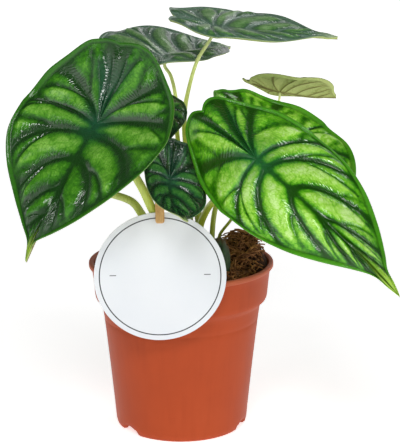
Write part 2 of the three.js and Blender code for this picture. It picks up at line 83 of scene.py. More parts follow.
def quads(grid):
    """The faces between neighbours in a grid of point numbers."""
    return np.stack([grid[:-1, :-1], grid[1:, :-1], grid[1:, 1:], grid[:-1, 1:]], -1).reshape(-1, 4)


def ring_grid(rings, sides):
    """Point numbers of rings of points, where each ring ends on the point that it began with."""
    grid = np.arange(rings * sides).reshape(rings, sides)
    return np.hstack([grid, grid[:, :1]])


# %% A soft step and a bell
def ease(value, low, high):
    """0 below low, 1 above high and an S-curve between them."""
    share = np.clip((value - low) / (high - low), 0, 1)
    return share * share * (3 - 2 * share)


def near(distance, width):
    """1 at no distance, and falling off to both sides within about the width."""
    return np.exp(-((distance / width) ** 2))


# %% Finish a piece and hand it over
@contextmanager
def editing(mesh):
    """Open a mesh for editing, and write the result back into it."""
    shell = bmesh.new()
    shell.from_mesh(mesh)
    yield shell
    shell.to_mesh(mesh)
    shell.free()


def show(name, data):
    """A new object at the origin of the scene."""
    made = bpy.data.objects.new(name, data)
    bpy.context.scene.collection.objects.link(made)
    return made


def finish_piece(name, mesh, replaces, material, weld=0.0, smooth=True):
    if weld:
        with editing(mesh) as shell:
            bmesh.ops.remove_doubles(shell, verts=shell.verts, dist=weld)
            bmesh.ops.dissolve_degenerate(shell, edges=shell.edges, dist=weld)
            bmesh.ops.recalc_face_normals(shell, faces=shell.faces)
    if smooth:
        mesh.shade_smooth()
    mesh.materials.clear()
    mesh.materials.append(material)
    made = show("fine_" + name, mesh)
    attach(made, "root")
    if replaces:
        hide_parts(*replaces)
    print(name, len(mesh.polygons), "faces")
    return made


# %% [markdown]
# ## Material helpers
# A material is a small graph of nodes. Writing it node by node is long, so these helpers make a node, set
# its plain numbers and link whatever is a socket. A number that is the same all over goes straight on the
# shader's own socket.

# %% Node helpers
def tone(colour):
    """A hex colour as seen on a screen, as the linear numbers that a shader needs."""
    if not isinstance(colour, str):
        return colour
    parts = [int(colour[i : i + 2], 16) / 255 for i in (0, 2, 4)]
    linear = [part / 12.92 if part <= 0.04045 else ((part + 0.055) / 1.055) ** 2.4 for part in parts]
    return (*linear, 1.0)


def add_node(tree, kind, values=None, **settings):
    """A node with its settings. A value is set on its input, or linked to it if it is a socket."""
    made = tree.nodes.new(kind)
    for key, value in settings.items():
        setattr(made, key, value)
    for key, value in (values or {}).items():
        if isinstance(value, bpy.types.NodeSocket):
            tree.links.new(value, made.inputs[key])
        else:
            made.inputs[key].default_value = value
    return made


# %% A material under construction
class Finish:
    def __init__(self, name):
        self.material = bpy.data.materials.new(name)
        self.material.use_nodes = True
        self.tree = self.material.node_tree
        self.tree.nodes.clear()
        self.place = self.node("ShaderNodeTexCoord").outputs["Object"]

    def node(self, kind, values=None, **settings):
        return add_node(self.tree, kind, values, **settings)

    def read(self, name):
        return self.node("ShaderNodeAttribute", attribute_name=name).outputs["Fac"]

    def math(self, operation, first, second=0.0, clamp=False):
        values = {0: first, 1: second}
        return self.node("ShaderNodeMath", values, operation=operation, use_clamp=clamp).outputs[0]

    def plus(self, first, second):
        return self.math("ADD", first, second)

    def minus(self, first, second):
        return self.math("SUBTRACT", first, second)

    def times(self, first, second, clamp=False):
        return self.math("MULTIPLY", first, second, clamp)

    def noise(self, scale, detail=3.0, roughness=0.55, vector=None, distortion=0.0):
        values = {"Vector": vector or self.place, "Scale": scale, "Detail": detail}
        values.update(Roughness=roughness, Distortion=distortion)
        return self.node("ShaderNodeTexNoise", values).outputs["Fac"]

    def cells(self, scale, vector=None):
        """Distance to the nearest wall between irregular cells."""
        values = {"Vector": vector or self.place, "Scale": scale}
        return self.node("ShaderNodeTexVoronoi", values, feature="DISTANCE_TO_EDGE").outputs["Distance"]

    def upright(self, share):
        """Coordinates with only a share of Z, which draw a pattern out upwards."""
        values = {"Vector": self.place, "Scale": (1.0, 1.0, share)}
        return self.node("ShaderNodeMapping", values).outputs[0]

    def remap(self, value, low, high, to_low=0.0, to_high=1.0):
        values = {"Value": value, "From Min": low, "From Max": high, "To Min": to_low, "To Max": to_high}
        return self.node("ShaderNodeMapRange", values, interpolation_type="SMOOTHSTEP").outputs["Result"]

    def ramp(self, value, stops):
        made = self.node("ShaderNodeValToRGB", {"Fac": value})
        bar = made.color_ramp
        while len(bar.elements) < len(stops):
            bar.elements.new(0.5)
        for element, (position, colour) in zip(bar.elements, stops):
            element.position = position
            element.color = tone(colour)
        return made.outputs["Color"]

    def mix(self, amount, first, second):
        values = {0: amount, 6: tone(first), 7: tone(second)}
        return self.node("ShaderNodeMix", values, data_type="RGBA").outputs[2]

    def bump(self, height, distance, strength=1.0, normal=None):
        values = {"Height": height, "Distance": distance, "Strength": strength}
        if normal:
            values["Normal"] = normal
        return self.node("ShaderNodeBump", values).outputs["Normal"]

    def done(self, **sockets):
        values = {key.replace("_", " "): value for key, value in sockets.items()}
        shader = self.node("ShaderNodeBsdfPrincipled", values)
        self.node("ShaderNodeOutputMaterial", {"Surface": shader.outputs[0]})
        return self.material


# %% [markdown]
# ## The leaf's finish
# A dragon scale leaf is thick and waxy. Its ribs lie in dark blue-green valleys, the panels between them
# are bright, a smooth band runs round the margin, and fine wrinkles cross each valley.
# The mesh carries numbers for these zones (how far a point is up its panel, how near it is to a rib, and so
# on), so the colours follow the real form instead of being painted over it. Some of them are painted light:
# a painted sheen round the stalk and along the ribs of the grey-green leaves, and painted shade on the front
# panels of some blades. The wax is a coat of its own with a calmer bump than the skin under it, so its
# reflections stay crisp.

# %% Wrinkles across the ribs and veinlets in the panels
def wrinkles(skin):
    """Bands along each rib's run, set out of step from place to place."""
    step = skin.times(skin.noise(110, 2, 0.5), 9.0)
    along = skin.node("ShaderNodeCombineXYZ", {"X": skin.plus(skin.read("run"), step)}).outputs[0]
    bands = {"Vector": along, "Scale": 0.17, "Distortion": 1.5, "Detail": 1.0, "Detail Scale": 1.5}
    return skin.node("ShaderNodeTexWave", bands, bands_direction="X").outputs["Fac"]


def veinlets(skin):
    """Thin lines round cells about 8 mm wide, whose walls sway a little."""
    sway = skin.node("ShaderNodeTexNoise", {"Vector": skin.place, "Scale": 170.0, "Detail": 2.0})
    swayed = {0: sway.outputs["Color"], 1: (0.007, 0.007, 0.007), 2: skin.place}
    swayed = skin.node("ShaderNodeVectorMath", swayed, operation="MULTIPLY_ADD").outputs[0]
    return skin.remap(skin.cells(120, swayed), 0.0, 0.2, 1.0, 0.0)


# %% Leaf material
UNDERSIDE = [(0.0, "b4c27a"), (0.35, "a6b26a"), (0.7, "8f9656"), (1.0, "7c7846")]


def leaf_finish(name, tones, gloss, mottle, core, glint):
    deep, shade, middle, bright, pale, band, tip, sheen = tones.split()
    skin = Finish(name)
    panel, rib, under = skin.read("panel"), skin.read("rib"), skin.read("under")
    base, margin, shoulder = skin.read("base"), skin.read("margin"), skin.read("shoulder")
    cloud = skin.noise(75, 3, 0.6)
    blotch = skin.noise(260, 4, 0.65, distortion=1.2)
    fine = skin.noise(1500, 3, 0.6)
    wrinkle = wrinkles(skin)
    net = skin.remap(skin.cells(330), 0.0, 0.16, 1.0, 0.0)

    level = skin.math("POWER", panel, core)
    for pattern, amount in ((cloud, mottle), (blotch, 0.65 * mottle), (wrinkle, 0.08)):
        level = skin.plus(level, skin.times(skin.minus(pattern, 0.5), amount))
    for lines, amount in ((net, 0.1), (veinlets(skin), 0.16)):
        level = skin.minus(level, skin.times(lines, amount))
    level = skin.times(level, skin.remap(panel, 0.0, 0.3, 0.0, 0.92), clamp=True)
    colour = skin.ramp(level, [(0.0, deep), (0.2, shade), (0.48, middle), (0.76, bright), (1.0, pale)])
    colour = skin.mix(skin.times(rib, 0.75), colour, deep)
    # Round the stalk, in the notch and over the darker rear panels the leaf's blue-green carries a painted
    # sheen.
    colour = skin.mix(skin.times(base, skin.remap(blotch, 0.3, 0.7, 0.45, 0.85)), colour, sheen)
    colour = skin.mix(skin.times(margin, 0.85), colour, skin.mix(cloud, band, shade))
    colour = skin.mix(skin.times(skin.read("line"), 0.7), colour, deep)
    colour = skin.mix(skin.read("drip"), colour, tip)
    back = skin.ramp(skin.plus(rib, skin.times(blotch, 0.3)), UNDERSIDE)
    colour = skin.mix(under, colour, back)

    crossing = skin.times(wrinkle, shoulder)
    normal = skin.bump(crossing, 0.00032)
    normal = skin.bump(skin.times(net, -1.0), 0.00018, 0.7, normal)
    normal = skin.bump(blotch, 0.0009, 0.6, normal)
    normal = skin.bump(fine, 0.00005, 0.3, normal)
    wax = skin.bump(crossing, 0.00013)
    wax = skin.bump(blotch, 0.0002, 0.5, wax)
    rough = skin.plus(skin.times(blotch, 0.16), skin.times(under, 0.25))
    rough = skin.plus(skin.plus(rough, gloss), skin.times(margin, 0.05))
    coat = skin.remap(shoulder, 0.1, 0.8, 0.35 * glint, glint) if glint else 0.0
    return skin.done(
        Base_Color=colour,
        Roughness=rough,
        Normal=normal,
        Specular_IOR_Level=0.1,
        Coat_Weight=coat,
        Coat_Roughness=0.07,
        Coat_IOR=1.65,
        Coat_Normal=wax,
    )


# %% The five greens
# The colours are those of the rib, the shaded, middle, bright and pale panel, the margin's band, the drip
# tip and the blue-green with its painted sheen round the stalk. The numbers are the roughness, the
# mottling, how late a panel turns bright on its way up, and the weight of the wax.
LEAF_TONES = (
    ("leaf_dark_green", "174010 286210 3a7c14 5e9e2c 84ba4c 387c12 92b436 1c5238", 0.27, 1.0, 1.25, 0.9),
    ("leaf_bright_green", "164800 2e7c06 60b218 9edb4a c8f092 5aaa20 a4cc48 226638", 0.24, 0.85, 0.74, 1.0),
    # On the grey-green leaves the rib colour is a pale painted sheen, lighter than their green panels.
    ("leaf_grey_green", "6a8a74 3e6448 467640 689a52 90b67c 749478 a0b490 52745e", 0.3, 0.6, 1.0, 1.0),
    ("leaf_blue_green", "12301c 1a4426 245a2c 3a7830 589448 337028 86a458 2c6048", 0.2, 0.6, 1.0, 1.0),
    ("leaf_pale_green", "5c6c3a 707f4a 84945a 96a468 a8b480 8a9862 6e6040 75835a", 0.5, 0.25, 1.0, 0.0),
)
LEAF_FINISHES = {name: leaf_finish(name, tones, *numbers) for name, tones, *numbers in LEAF_TONES}
print(len(LEAF_FINISHES), "leaf finishes")

# %% [markdown]
# ## The blades
# Every blade follows one rule: half an outline from the notch to the drip tip, ribs that run from the stalk
# or the midrib to fixed places on that outline, and a swelling between each two ribs. Then the flat blade
# is bent, folded and turned to the place where its stalk holds it. A grid of points that follows the ribs
# is the right mesh for this, because the creases then lie along its rows and stay crisp.

# %% Outline and ribs
OUTLINE = [
    (0, 0.03), (0.14, 0.022), (0.3, 0.02), (0.45, 0.034), (0.65, 0.1), (0.88, 0.198), (0.99, 0.325),
    (1, 0.4), (0.96, 0.528), (0.79, 0.65), (0.52, 0.762), (0.25, 0.855), (0.08, 0.914), (0.035, 0.961),
    (0, 1),
]  # across, along: from the notch to the tip
NOTCH_DEPTH = (0.04, 0.012)
WIDEST = 7
LAST = len(OUTLINE) - 1
RIB_STARTS = (0, 0, 0, 0.08, 0.27, 0.48, 0.65)  # on the midrib, as shares of it
RIB_ENDS = (1.1, 4.3, 6.6, 8.8, 10.1, 11, 11.9)  # places on the outline, unless a leaf has its own
MARGIN_VEIN = 0.94
BLADE = 1.0  # thickness

# %% The leaves' own numbers
# The two parts of shapes, ribs and dusk are for the right and the left side. A shape says how far forward
# the rear of the outline is moved, and how much wider its front is. Five names only colour a leaf: sinus is
# how dark the notch is, valley how wide a dark valley is, dim how dark the panels get near the margin, dusk
# how dark the rear panels are, and painted_front_shade how much painted shade darkens the front panels,
# where the blade turns away from the light.
LEAVES = {
    "leaf_left_front": dict(
        at=(-49.2, -64, 211.1), heading=-132.8, dip=46.4, roll=-11.4,
        length=144, right=51.7, left=55.8, behind=0.36, shapes=[(0.036, 0.037), (0.024, -0.074)],
        ribs=[(0.9, 4.5, 6.4, 8.7, 10, 10.7, 11.4), (0.8, 4.2, 5.7, 8.8, 10.1, 11.2, 12.3)],
        tip=-10.3, back=27, fold=-5.4, cup=12.5, twist=-5.7,
        notch=0.37, wave=1, panel=3.2, valley=3.0, dusk=(1.0, 0.6), painted_front_shade=0.35,
    ),
    "leaf_right_front": dict(
        at=(45.2, -85, 194.1), heading=-47.7, dip=24.2, roll=42.5,
        length=176.9, right=34.6, left=37.4, behind=0.36, shapes=[(0.038, -0.01), (0.06, 0.104)],
        ribs=[(1, 4.6, 7.7, 9, 10.4, 11.1, 11.8), (2.6, 4.1, 7.5, 8.8, 10.1, 11.2, 12.3)],
        tip=-30.9, back=7.7, fold=-23.6, cup=7, twist=15.1,
        notch=1.26, wave=1, panel=3.4, sinus=0.3, valley=2.8, dim=0.6, dusk=(0.3, 0.7),
    ),
    "leaf_right_behind": dict(
        at=(53, -36, 189.8), heading=-49, dip=32.5, roll=2.8,
        length=137, right=33.7, left=44.6, behind=0.37, shapes=[(0.012, 0), (0.027, 0.049)],
        tip=8.1, back=11.1, fold=0, cup=12, twist=-10,
        notch=0, wave=1, panel=2.6, sinus=0.3, valley=1.9, dim=0.3, dusk=(0.4, 0.5),
    ),
    "leaf_upper_left": dict(
        at=(-10, 38, 237.2), heading=54.9, dip=0.8, roll=8.9,
        length=120.6, right=34.3, left=44.3, behind=0.37, shapes=[(0, -0.024), (-0.015, 0.115)],
        tip=-0.2, back=-7.5, fold=23.5, cup=-13.4, twist=-1.4,
        notch=1, wave=1, panel=2.6,
    ),
    "leaf_top": dict(
        at=(20.8, 0, 262), heading=-7.4, dip=6.6, roll=5.8,
        length=109.8, right=34.3, left=41.7, behind=0.29, shapes=[(0.029, 0.02), (-0.01, 0.05)],
        tip=3.2, back=4, fold=4.2, cup=-2, twist=-1.2,
        notch=1.02, wave=0.8, panel=2.2,
    ),
    "leaf_middle": dict(
        at=(-5.7, -65.4, 177.7), heading=-92, dip=43.6, roll=-26.7,
        length=71.6, right=17.5, left=23, behind=0.35, shapes=[(0.014, -0.003), (0.031, -0.015)],
        tip=29.6, back=11.4, fold=-3.5, cup=5.6, twist=0.1,
        notch=0.12, wave=0.8, panel=2,
    ),
    "leaf_right_small": dict(
        at=(63.9, 20, 218.2), heading=26.1, dip=13.5, roll=-20.3,
        length=70.6, right=29.1, left=13.9, behind=0.38, shapes=[(0.002, 0.166), (0.002, -0.008)],
        tip=3.4, back=2.7, fold=8.4, cup=-5.9, twist=3.3,
        notch=0.6, wave=0.5, panel=1.3,
    ),
    "leaf_left_behind": dict(
        at=(-14.1, -12, 209.3), heading=-91.5, dip=23.5, roll=6.5,
        length=65, right=22, left=18, behind=0.36, shapes=[(0, 0), (0, 0)],
        tip=-7, back=-1, fold=1, cup=-3, twist=-2,
        notch=0.5, wave=0.5, panel=1.6,
    ),
    "leaf_left_low": dict(
        at=(-62, -20, 168), heading=-165, dip=35, roll=0,
        length=68, right=25, left=26, behind=0.36, shapes=[(0, 0), (0, 0)],
        tip=-8, back=2, fold=-3, cup=-2, twist=0,
        notch=0.6, wave=0.6, panel=1.8,
    ),
}
print(len(LEAVES), "blades")


# %% Smooth curve through the outline's points
def through(points, share):
    """A uniform Catmull-Rom curve through the points, at shares from 0 to 1."""
    points = np.asarray(points, float)
    place = np.clip(share, 0, 1) * (len(points) - 1)
    index = np.minimum(np.floor(place).astype(int), len(points) - 1)
    weight = (place - index)[:, None]
    corner = [points[np.clip(index + step, 0, len(points) - 1)] for step in (-1, 0, 1, 2)]
    start, end = (corner[2] - corner[0]) / 2, (corner[3] - corner[1]) / 2
    cubic = 2 * corner[1] - 2 * corner[2] + start + end
    square = -3 * corner[1] + 3 * corner[2] - 2 * start - end
    return ((cubic * weight + square) * weight + start) * weight + corner[1]


def outline_of(leaf, side):
    shoulder, widening = leaf["shapes"][0 if side > 0 else 1]
    points = []
    for i, (u, v) in enumerate(OUTLINE):
        rear = math.sin(math.pi * i / WIDEST) if i < WIDEST else 0
        front = math.sin(math.pi * (i - WIDEST) / (LAST - WIDEST)) if i > WIDEST else 0
        deeper = leaf["notch"] * NOTCH_DEPTH[i] if i < 2 else 0
        points.append((u + widening * front, v + deeper + shoulder * rear))
    return points


# %% Axes and bending of a blade
def blade_axes(leaf):
    """Unit vectors across to the right, along to the tip, and out of the upper face."""
    turn, dip, roll = (math.radians(leaf[key]) for key in ("heading", "dip", "roll"))
    along = Vector((math.cos(dip) * math.cos(turn), math.cos(dip) * math.sin(turn), -math.sin(dip)))
    level = Vector((math.sin(turn), -math.cos(turn), 0))
    across = level * math.cos(roll) + along.cross(level) * math.sin(roll)
    return np.array(across), np.array(along), np.array(across.cross(along))


def bend_of(leaf, x, y):
    """How far the bent blade stands off its plane."""
    half = np.where(x > 0, leaf["right"], leaf["left"])
    front = leaf["length"] * (1 - leaf["behind"])
    rear = leaf["length"] * leaf["behind"]
    side = np.abs(x) / half
    bend = leaf["tip"] * (np.maximum(y, 0) / front) ** 2 + leaf["back"] * (np.minimum(y, 0) / rear) ** 2
    bend += leaf["fold"] * (np.hypot(side, 0.12) - 0.12) + leaf["cup"] * side**2
    return bend + leaf["twist"] * (x / half) * (y / front)


# %% The rows of half a blade: one on each rib and more between, from the notch round to the tip
def rows_of(leaf, side, cell_rows):
    ends = leaf.get("ribs", (RIB_ENDS, RIB_ENDS))[0 if side > 0 else 1]
    knots = np.array([(0, 0), *zip(ends, RIB_STARTS), (LAST, 1)], float)
    rows = []
    for cell, (low, high) in enumerate(zip(knots, knots[1:])):
        first = cell == 0
        steps = cell_rows // 2 if first else cell_rows
        for part in np.arange(steps) / steps:
            between = (1 + part) / 2 if first else part
            rows.append((*(low + (high - low) * part), between, cell))
    rows.append((LAST, 1, 0, len(knots) - 2))
    return knots, *(np.array(column)[:, None] for column in zip(*rows))


def lay_out(leaf, side, place, start, shares):
    """Points across and along the flat blade: each row is a curve from the midrib to the outline."""
    half = leaf["right"] if side > 0 else leaf["left"]
    front = (1 - leaf["behind"]) * leaf["length"]
    edge = through(outline_of(leaf, side), place[:, 0] / LAST)
    end_x, end_y = edge[:, :1] * half, (edge[:, 1:] - leaf["behind"]) * leaf["length"]
    origin = start * front
    bow = 0.28 + 0.54 * ease(place, 4, 8.5) - 0.2 * ease(place, 10.2, 11.5)
    sweep = 0.5 - 0.45 * ease(place, 5, 8.5) + 0.3 * ease(place, 9.8, 11.5)
    arch = 0.15 * ease(place, 3, 5.5) * (1 - ease(place, 7.5, 9.5))
    bow_x, bow_y = bow * end_x, origin + (end_y - origin) * sweep - arch * end_x
    s = shares[None, :]
    x = 2 * (1 - s) * s * bow_x + s**2 * end_x
    y = (1 - s) ** 2 * origin + 2 * (1 - s) * s * bow_y + s**2 * end_y
    return side * x, y, origin


# %% Finer veins that branch off a rib, arch across the panel and cut it into bubbles
VEIN_BRANCHES = ((0.34, 0.46, 0.52, 1.0), (0.58, 0.7, 0.34, 0.85))  # first and last start, reach, depth


def cross_veins(knots, cell, between, s, rng):
    veins = np.zeros(np.broadcast(between, s).shape)
    for k in range(1, len(knots) - 1):
        from_first = rng.random() < 0.5
        for low, high, reach, deep in VEIN_BRANCHES:
            begin = rng.uniform(low, high)
            target = reach + rng.uniform(-0.08, 0.08)
            rise = np.clip((s - begin) / (MARGIN_VEIN - begin), 0, 1) ** 0.6
            centre = target * rise if from_first else 1 - target * rise
            wide = 0.045 + 0.04 * ease(s, begin, 1)
            vein = deep * near(between - centre, wide) * ease(s, begin - 0.02, begin + 0.1)
            veins = np.maximum(veins, np.where(cell == k, vein, 0))
            from_first = not from_first
    return veins * (1 - ease(s, 0.88, MARGIN_VEIN))


# %% Height of half a blade over its plane
def height_of(leaf, side, x, y, place, start, between, s, edge, veins):
    half = leaf["right"] if side > 0 else leaf["left"]
    swell = np.sqrt(np.sin(np.pi * between) ** 2 + 0.0009) ** 0.7
    spread = ease(s, 0, 0.34) * (1 - ease(s, 0.78, edge))
    narrow = 1 - 0.6 * ease(start, 0.6, 1)
    relief = leaf["panel"] * (swell - 0.45 * veins) * spread * narrow
    relief += 0.5 * ease(s, edge, 1) - 0.3 * near((s - edge) * half, 0.7)
    in_ends = ease(place, 0, 2) * ease(LAST - place, 0, 2)
    wave = leaf["wave"] * np.sin(place * 1.7 + side) * ease(s, 0.6, 1) * in_ends
    return bend_of(leaf, x, y) + relief + wave


# %% Height and zones of half a blade
RIB_SCALE = 144  # the blade's length for which the widths of ribs and valleys are given


def half_blade(leaf, side, cell_rows, shares, seed):
    knots, place, start, between, cell = rows_of(leaf, side, cell_rows)
    x, y, origin = lay_out(leaf, side, place, start, shares)
    s = shares[None, :]
    half = leaf["right"] if side > 0 else leaf["left"]
    edge = MARGIN_VEIN + 0.028 * (1 - ease(place, 2.5, 5.5))  # the margin's band is narrow at the rear
    veins = cross_veins(knots, cell, between, s, np.random.default_rng(seed))
    height = height_of(leaf, side, x, y, place, start, between, s, edge, veins)

    ends = through(outline_of(leaf, side), knots[:, 0] / LAST) * [half, leaf["length"]]
    width = np.linalg.norm(np.diff(ends, axis=0), axis=1)
    gap = np.diff(knots[:, 1]) * (1 - leaf["behind"]) * leaf["length"]
    cell = cell.astype(int)
    cell_width = width[cell] * s + gap[cell] * (1 - s)
    to_rib = np.where(cell == 0, (1 - between), np.minimum(between, 1 - between)) * cell_width
    scale = leaf["length"] / RIB_SCALE
    front = y > -1
    rib = np.maximum(near(to_rib, 0.9 * scale), near(x, 1.2 * scale) * front)
    run = np.hypot(x, y - origin)
    shoulder = near(to_rib - 2.6 * scale, 2.2 * scale) * ease(run, 5, 14 * scale) * (1 - ease(s, 0.84, edge))

    valley = leaf.get("valley", 2.6 * scale)
    lit = (1 - near(to_rib, valley)) * (1 - 0.85 * near(x, valley) * front) * np.sin(np.pi * between) ** 0.6
    sinus = leaf.get("sinus", 0.8) * (cell == 0)
    lit = lit * (1 - sinus) * (1 - leaf.get("dim", 0.6) * ease(s, 0.82, edge))
    dusk = leaf.get("dusk", (0.8, 0.8))[0 if side > 0 else 1] * (cell == 1)
    dusk = dusk * (1 - ease(between, 0.25, 0.8)) * (1 - ease(s, 0.6, 0.95))
    # Some blades darken their front panels with painted shade, where the blade turns away from the light.
    lit = lit * (1 - dusk) * (1 - leaf.get("painted_front_shade", 0) * ease(place, 9.2, 11))
    in_notch = sinus * (1 - ease(s, 0.45, 0.9))
    zones = {
        "panel": lit * (1 - 0.75 * veins),
        "rib": np.maximum(rib * (1 - ease(s, edge - 0.02, edge)), 0.55 * veins),
        "shoulder": shoulder,
        # base marks the painted sheen: round the stalk, in the notch and over the darker rear panels.
        "base": np.maximum(near(np.hypot(x, y), 0.085 * leaf["length"]), np.maximum(in_notch, 0.9 * dusk)),
        "margin": ease(s, edge - 0.005, edge + 0.015),
        "line": near((s - edge) * half, 0.5) * (1 - ease(place, 12, 12.8)),
        "drip": ease(place, 12.2, 13.2) * (0.3 + 0.7 * ease(s, 0.2, 0.8)),
        "run": run,
    }
    return x, y, height, rib, {key: np.broadcast_to(value, x.shape) for key, value in zones.items()}


# %% Columns of a blade, its rim and its seed
def columns_of(across):
    """Shares of the way from the midrib to the outline, closer together at the margin."""
    shares = np.linspace(0, 1, across + 1)
    shares = shares + 0.06 * np.sin(2 * np.pi * shares)
    at_vein = MARGIN_VEIN + np.array([-0.008, 0.008, 0.018, 0.028, 0.04])
    return np.sort(np.append(shares, at_vein))


def rim_of(x, y, side):
    """Where the rounded margin stands out furthest, just outside the outline, except at its two ends."""
    tangent = np.gradient(np.stack([x, y], 1), axis=0)
    outward = np.stack([tangent[:, 1], -tangent[:, 0]], 1) * side
    outward /= np.maximum(np.linalg.norm(outward, axis=1, keepdims=True), 1e-6)
    row = np.arange(len(x))
    push = 0.3 * ease(row, 0, 3) * ease(len(x) - 1 - row, 0, 3)
    return x + outward[:, 0] * push, y + outward[:, 1] * push


def seed_of(name):
    return sum(ord(letter) * (i + 1) for i, letter in enumerate(name))


# %% Join the two halves, the lower face and the rounded margin into one closed body
def blade(name, leaf, cell_rows, across, material):
    shares = columns_of(across)
    thick = BLADE * (0.75 + 0.25 * (1 - ease(shares, 0.9, 1)))[None, :]
    right, forward, out = blade_axes(leaf)
    origin = np.array(leaf["at"], float)

    def spot(x, y, height):
        placed = origin + x[..., None] * right + y[..., None] * forward + height[..., None] * out
        return placed.reshape(-1, 3)

    points, faces, zones = [], [], {}
    offset = 0
    for side in (1, -1):
        x, y, height, rib, zone = half_blade(leaf, side, cell_rows, shares, seed=seed_of(name) + side)
        rows, columns = x.shape
        count = rows * columns
        vein = 0.7 * rib * (1 - ease(shares, 0.55, 0.9))[None, :]
        points += [spot(x, y, height), spot(x, y, height - thick - vein)]
        points.append(spot(*rim_of(x[:, -1], y[:, -1], side), height[:, -1] - 0.5 * thick[0, -1]))

        upper = np.arange(count).reshape(rows, columns) + offset
        lower = upper + count
        margin = np.stack([upper[:, -1], np.arange(rows) + offset + 2 * count, lower[:, -1]], 1)
        for block in (quads(upper)[:, FLIP], quads(lower), quads(margin)[:, FLIP]):
            faces.append(block if side > 0 else block[:, ::-1])
        zone = {key: [value.ravel(), value.ravel(), value[:, -1]] for key, value in zone.items()}
        zone["under"] = [np.zeros(count), np.ones(count), np.full(rows, 0.3)]
        for key, parts in zone.items():
            zones.setdefault(key, []).extend(parts)
        offset += 2 * count + rows
    zones = {key: np.concatenate(parts) for key, parts in zones.items()}
    mesh = shape(name, np.concatenate(points), np.concatenate(faces).tolist(), **zones)
    return finish_piece(name, mesh, [name], material, weld=2e-6)


# %% Make the nine blades
# The numbers say how many rows lie between two ribs and how many columns from the midrib to the margin.
DRESS = {
    "leaf_left_front": ("leaf_dark_green", 22, 46),
    "leaf_right_front": ("leaf_bright_green", 22, 46),
    "leaf_right_behind": ("leaf_bright_green", 16, 34),
    "leaf_upper_left": ("leaf_grey_green", 18, 36),
    "leaf_top": ("leaf_grey_green", 18, 36),
    "leaf_middle": ("leaf_blue_green", 16, 34),
    "leaf_right_small": ("leaf_pale_green", 12, 24),
    "leaf_left_behind": ("leaf_blue_green", 12, 24),
    "leaf_left_low": ("leaf_dark_green", 12, 24),
}
for name, leaf in LEAVES.items():
    finish, rows, across = DRESS[name]
    blade(name, leaf, rows, across, LEAF_FINISHES[finish])

# %% [markdown]
# ## The stalks
# A stalk is a round tube that tapers upwards, with a faint channel on one side and a skin that goes from
# olive at its foot to a paler green under the blade. A curve with a bevel would do, but a swept grid lets
# the taper, the channel and the colour all follow the same share of the length.

# %% Stalk finish
def stalk_finish():
    skin = Finish("stalk_olive")
    streak = skin.noise(1400, 3, 0.6, vector=skin.upright(0.12))
    fleck = skin.noise(420, 4, 0.7)
    stops = [(0.0, "66741a"), (0.3, "94a22a"), (0.6, "bccc48"), (0.85, "d8e68c"), (1.0, "e0eca6")]
    colour = skin.ramp(skin.read("share"), stops)
    colour = skin.mix(skin.remap(streak, 0.4, 0.8, 0.0, 0.8), colour, skin.mix(0.5, colour, "6c7c16"))
    colour = skin.mix(skin.remap(fleck, 0.62, 0.75, 0.0, 0.35), colour, "c3c47a")
    return skin.done(Base_Color=colour, Roughness=0.38, Normal=skin.bump(streak, 0.00025, 0.5))


# %% Where the coir's surface is, since every stalk starts there
SOIL = dict(dome=8, heap=16.5, heap_at=(39.5, 6), heap_spread=(15, 22), edge=104.5, lump=1.3)


def soil_top(x, y):
    radius = np.hypot(x, y)
    (hx, hy), (sx, sy) = SOIL["heap_at"], SOIL["heap_spread"]
    dome = SOIL["dome"] * (1 - (radius / 55) ** 2)
    heap = SOIL["heap"] * np.exp(-(((x - hx) / sx) ** 2) - ((y - hy) / sy) ** 2)
    lumps = np.sin(0.31 * x + 0.17 * y) * np.cos(0.27 * y - 0.12 * x + 1) + 0.6 * np.sin(0.45 * x + 0.7 * y)
    return SOIL["edge"] + dome + heap + SOIL["lump"] * lumps * ease(55 - radius, 0, 12)


# %% The stalks' own numbers: foot, points on the way up, radius at the foot and at the blade
STALKS = {
    "leaf_left_front": (
        (-2, -15),
        [(-8, -42, 132), (-10.4, -54, 142), (-13, -58.2, 150.3),
         (-17.3, -58.1, 159.3), (-22.4, -58, 170.5), (-31, -56, 184.5)],
        (3.3, 2.5),
    ),
    "leaf_left_low": ((-10, -7), [(-17, -19, 131), (-24, -32, 148.3), (-30, -33, 156.5)], (3.2, 2.3)),
    "leaf_left_behind": ((-5, 2), [(-5, -1, 142), (-10, -4, 175)], (2.2, 1.3)),
    "leaf_middle": ((5, -14), [(3, -28, 136), (-2, -46, 155), (-5, -58, 166)], (2.2, 1.4)),
    "leaf_upper_left": (
        (6, 1),
        [(6, 0, 137), (1, 4, 170), (-2.2, 12, 190), (-3.5, 26, 213), (-7, 34, 226)],
        (2.5, 1.2),
    ),
    "leaf_top": (
        (13, -4),
        [(12, -3, 136), (6.5, 2, 168), (2.7, 8, 191), (2.6, 9, 206), (5.2, 6, 221), (10.8, 2, 240)],
        (3, 1.1),
    ),
    "leaf_right_front": ((12, -13), [(12, -18, 134), (17, -32, 151), (28, -67, 171)], (2.6, 1.8)),
    "leaf_right_behind": ((20, -3), [(23, -3, 147), (34, -9, 166)], (1.9, 1.5)),
    "leaf_right_small": ((25, 5), [(34, 4, 138), (48, 9, 168)], (1.1, 0.8)),
}
STALK_DEPTH = 30  # how far a stalk stands in the coir
STALK_RINGS, STALK_SIDES = 110, 20
UNDER_BLADE = 0.75  # the gap between a stalk and its blade


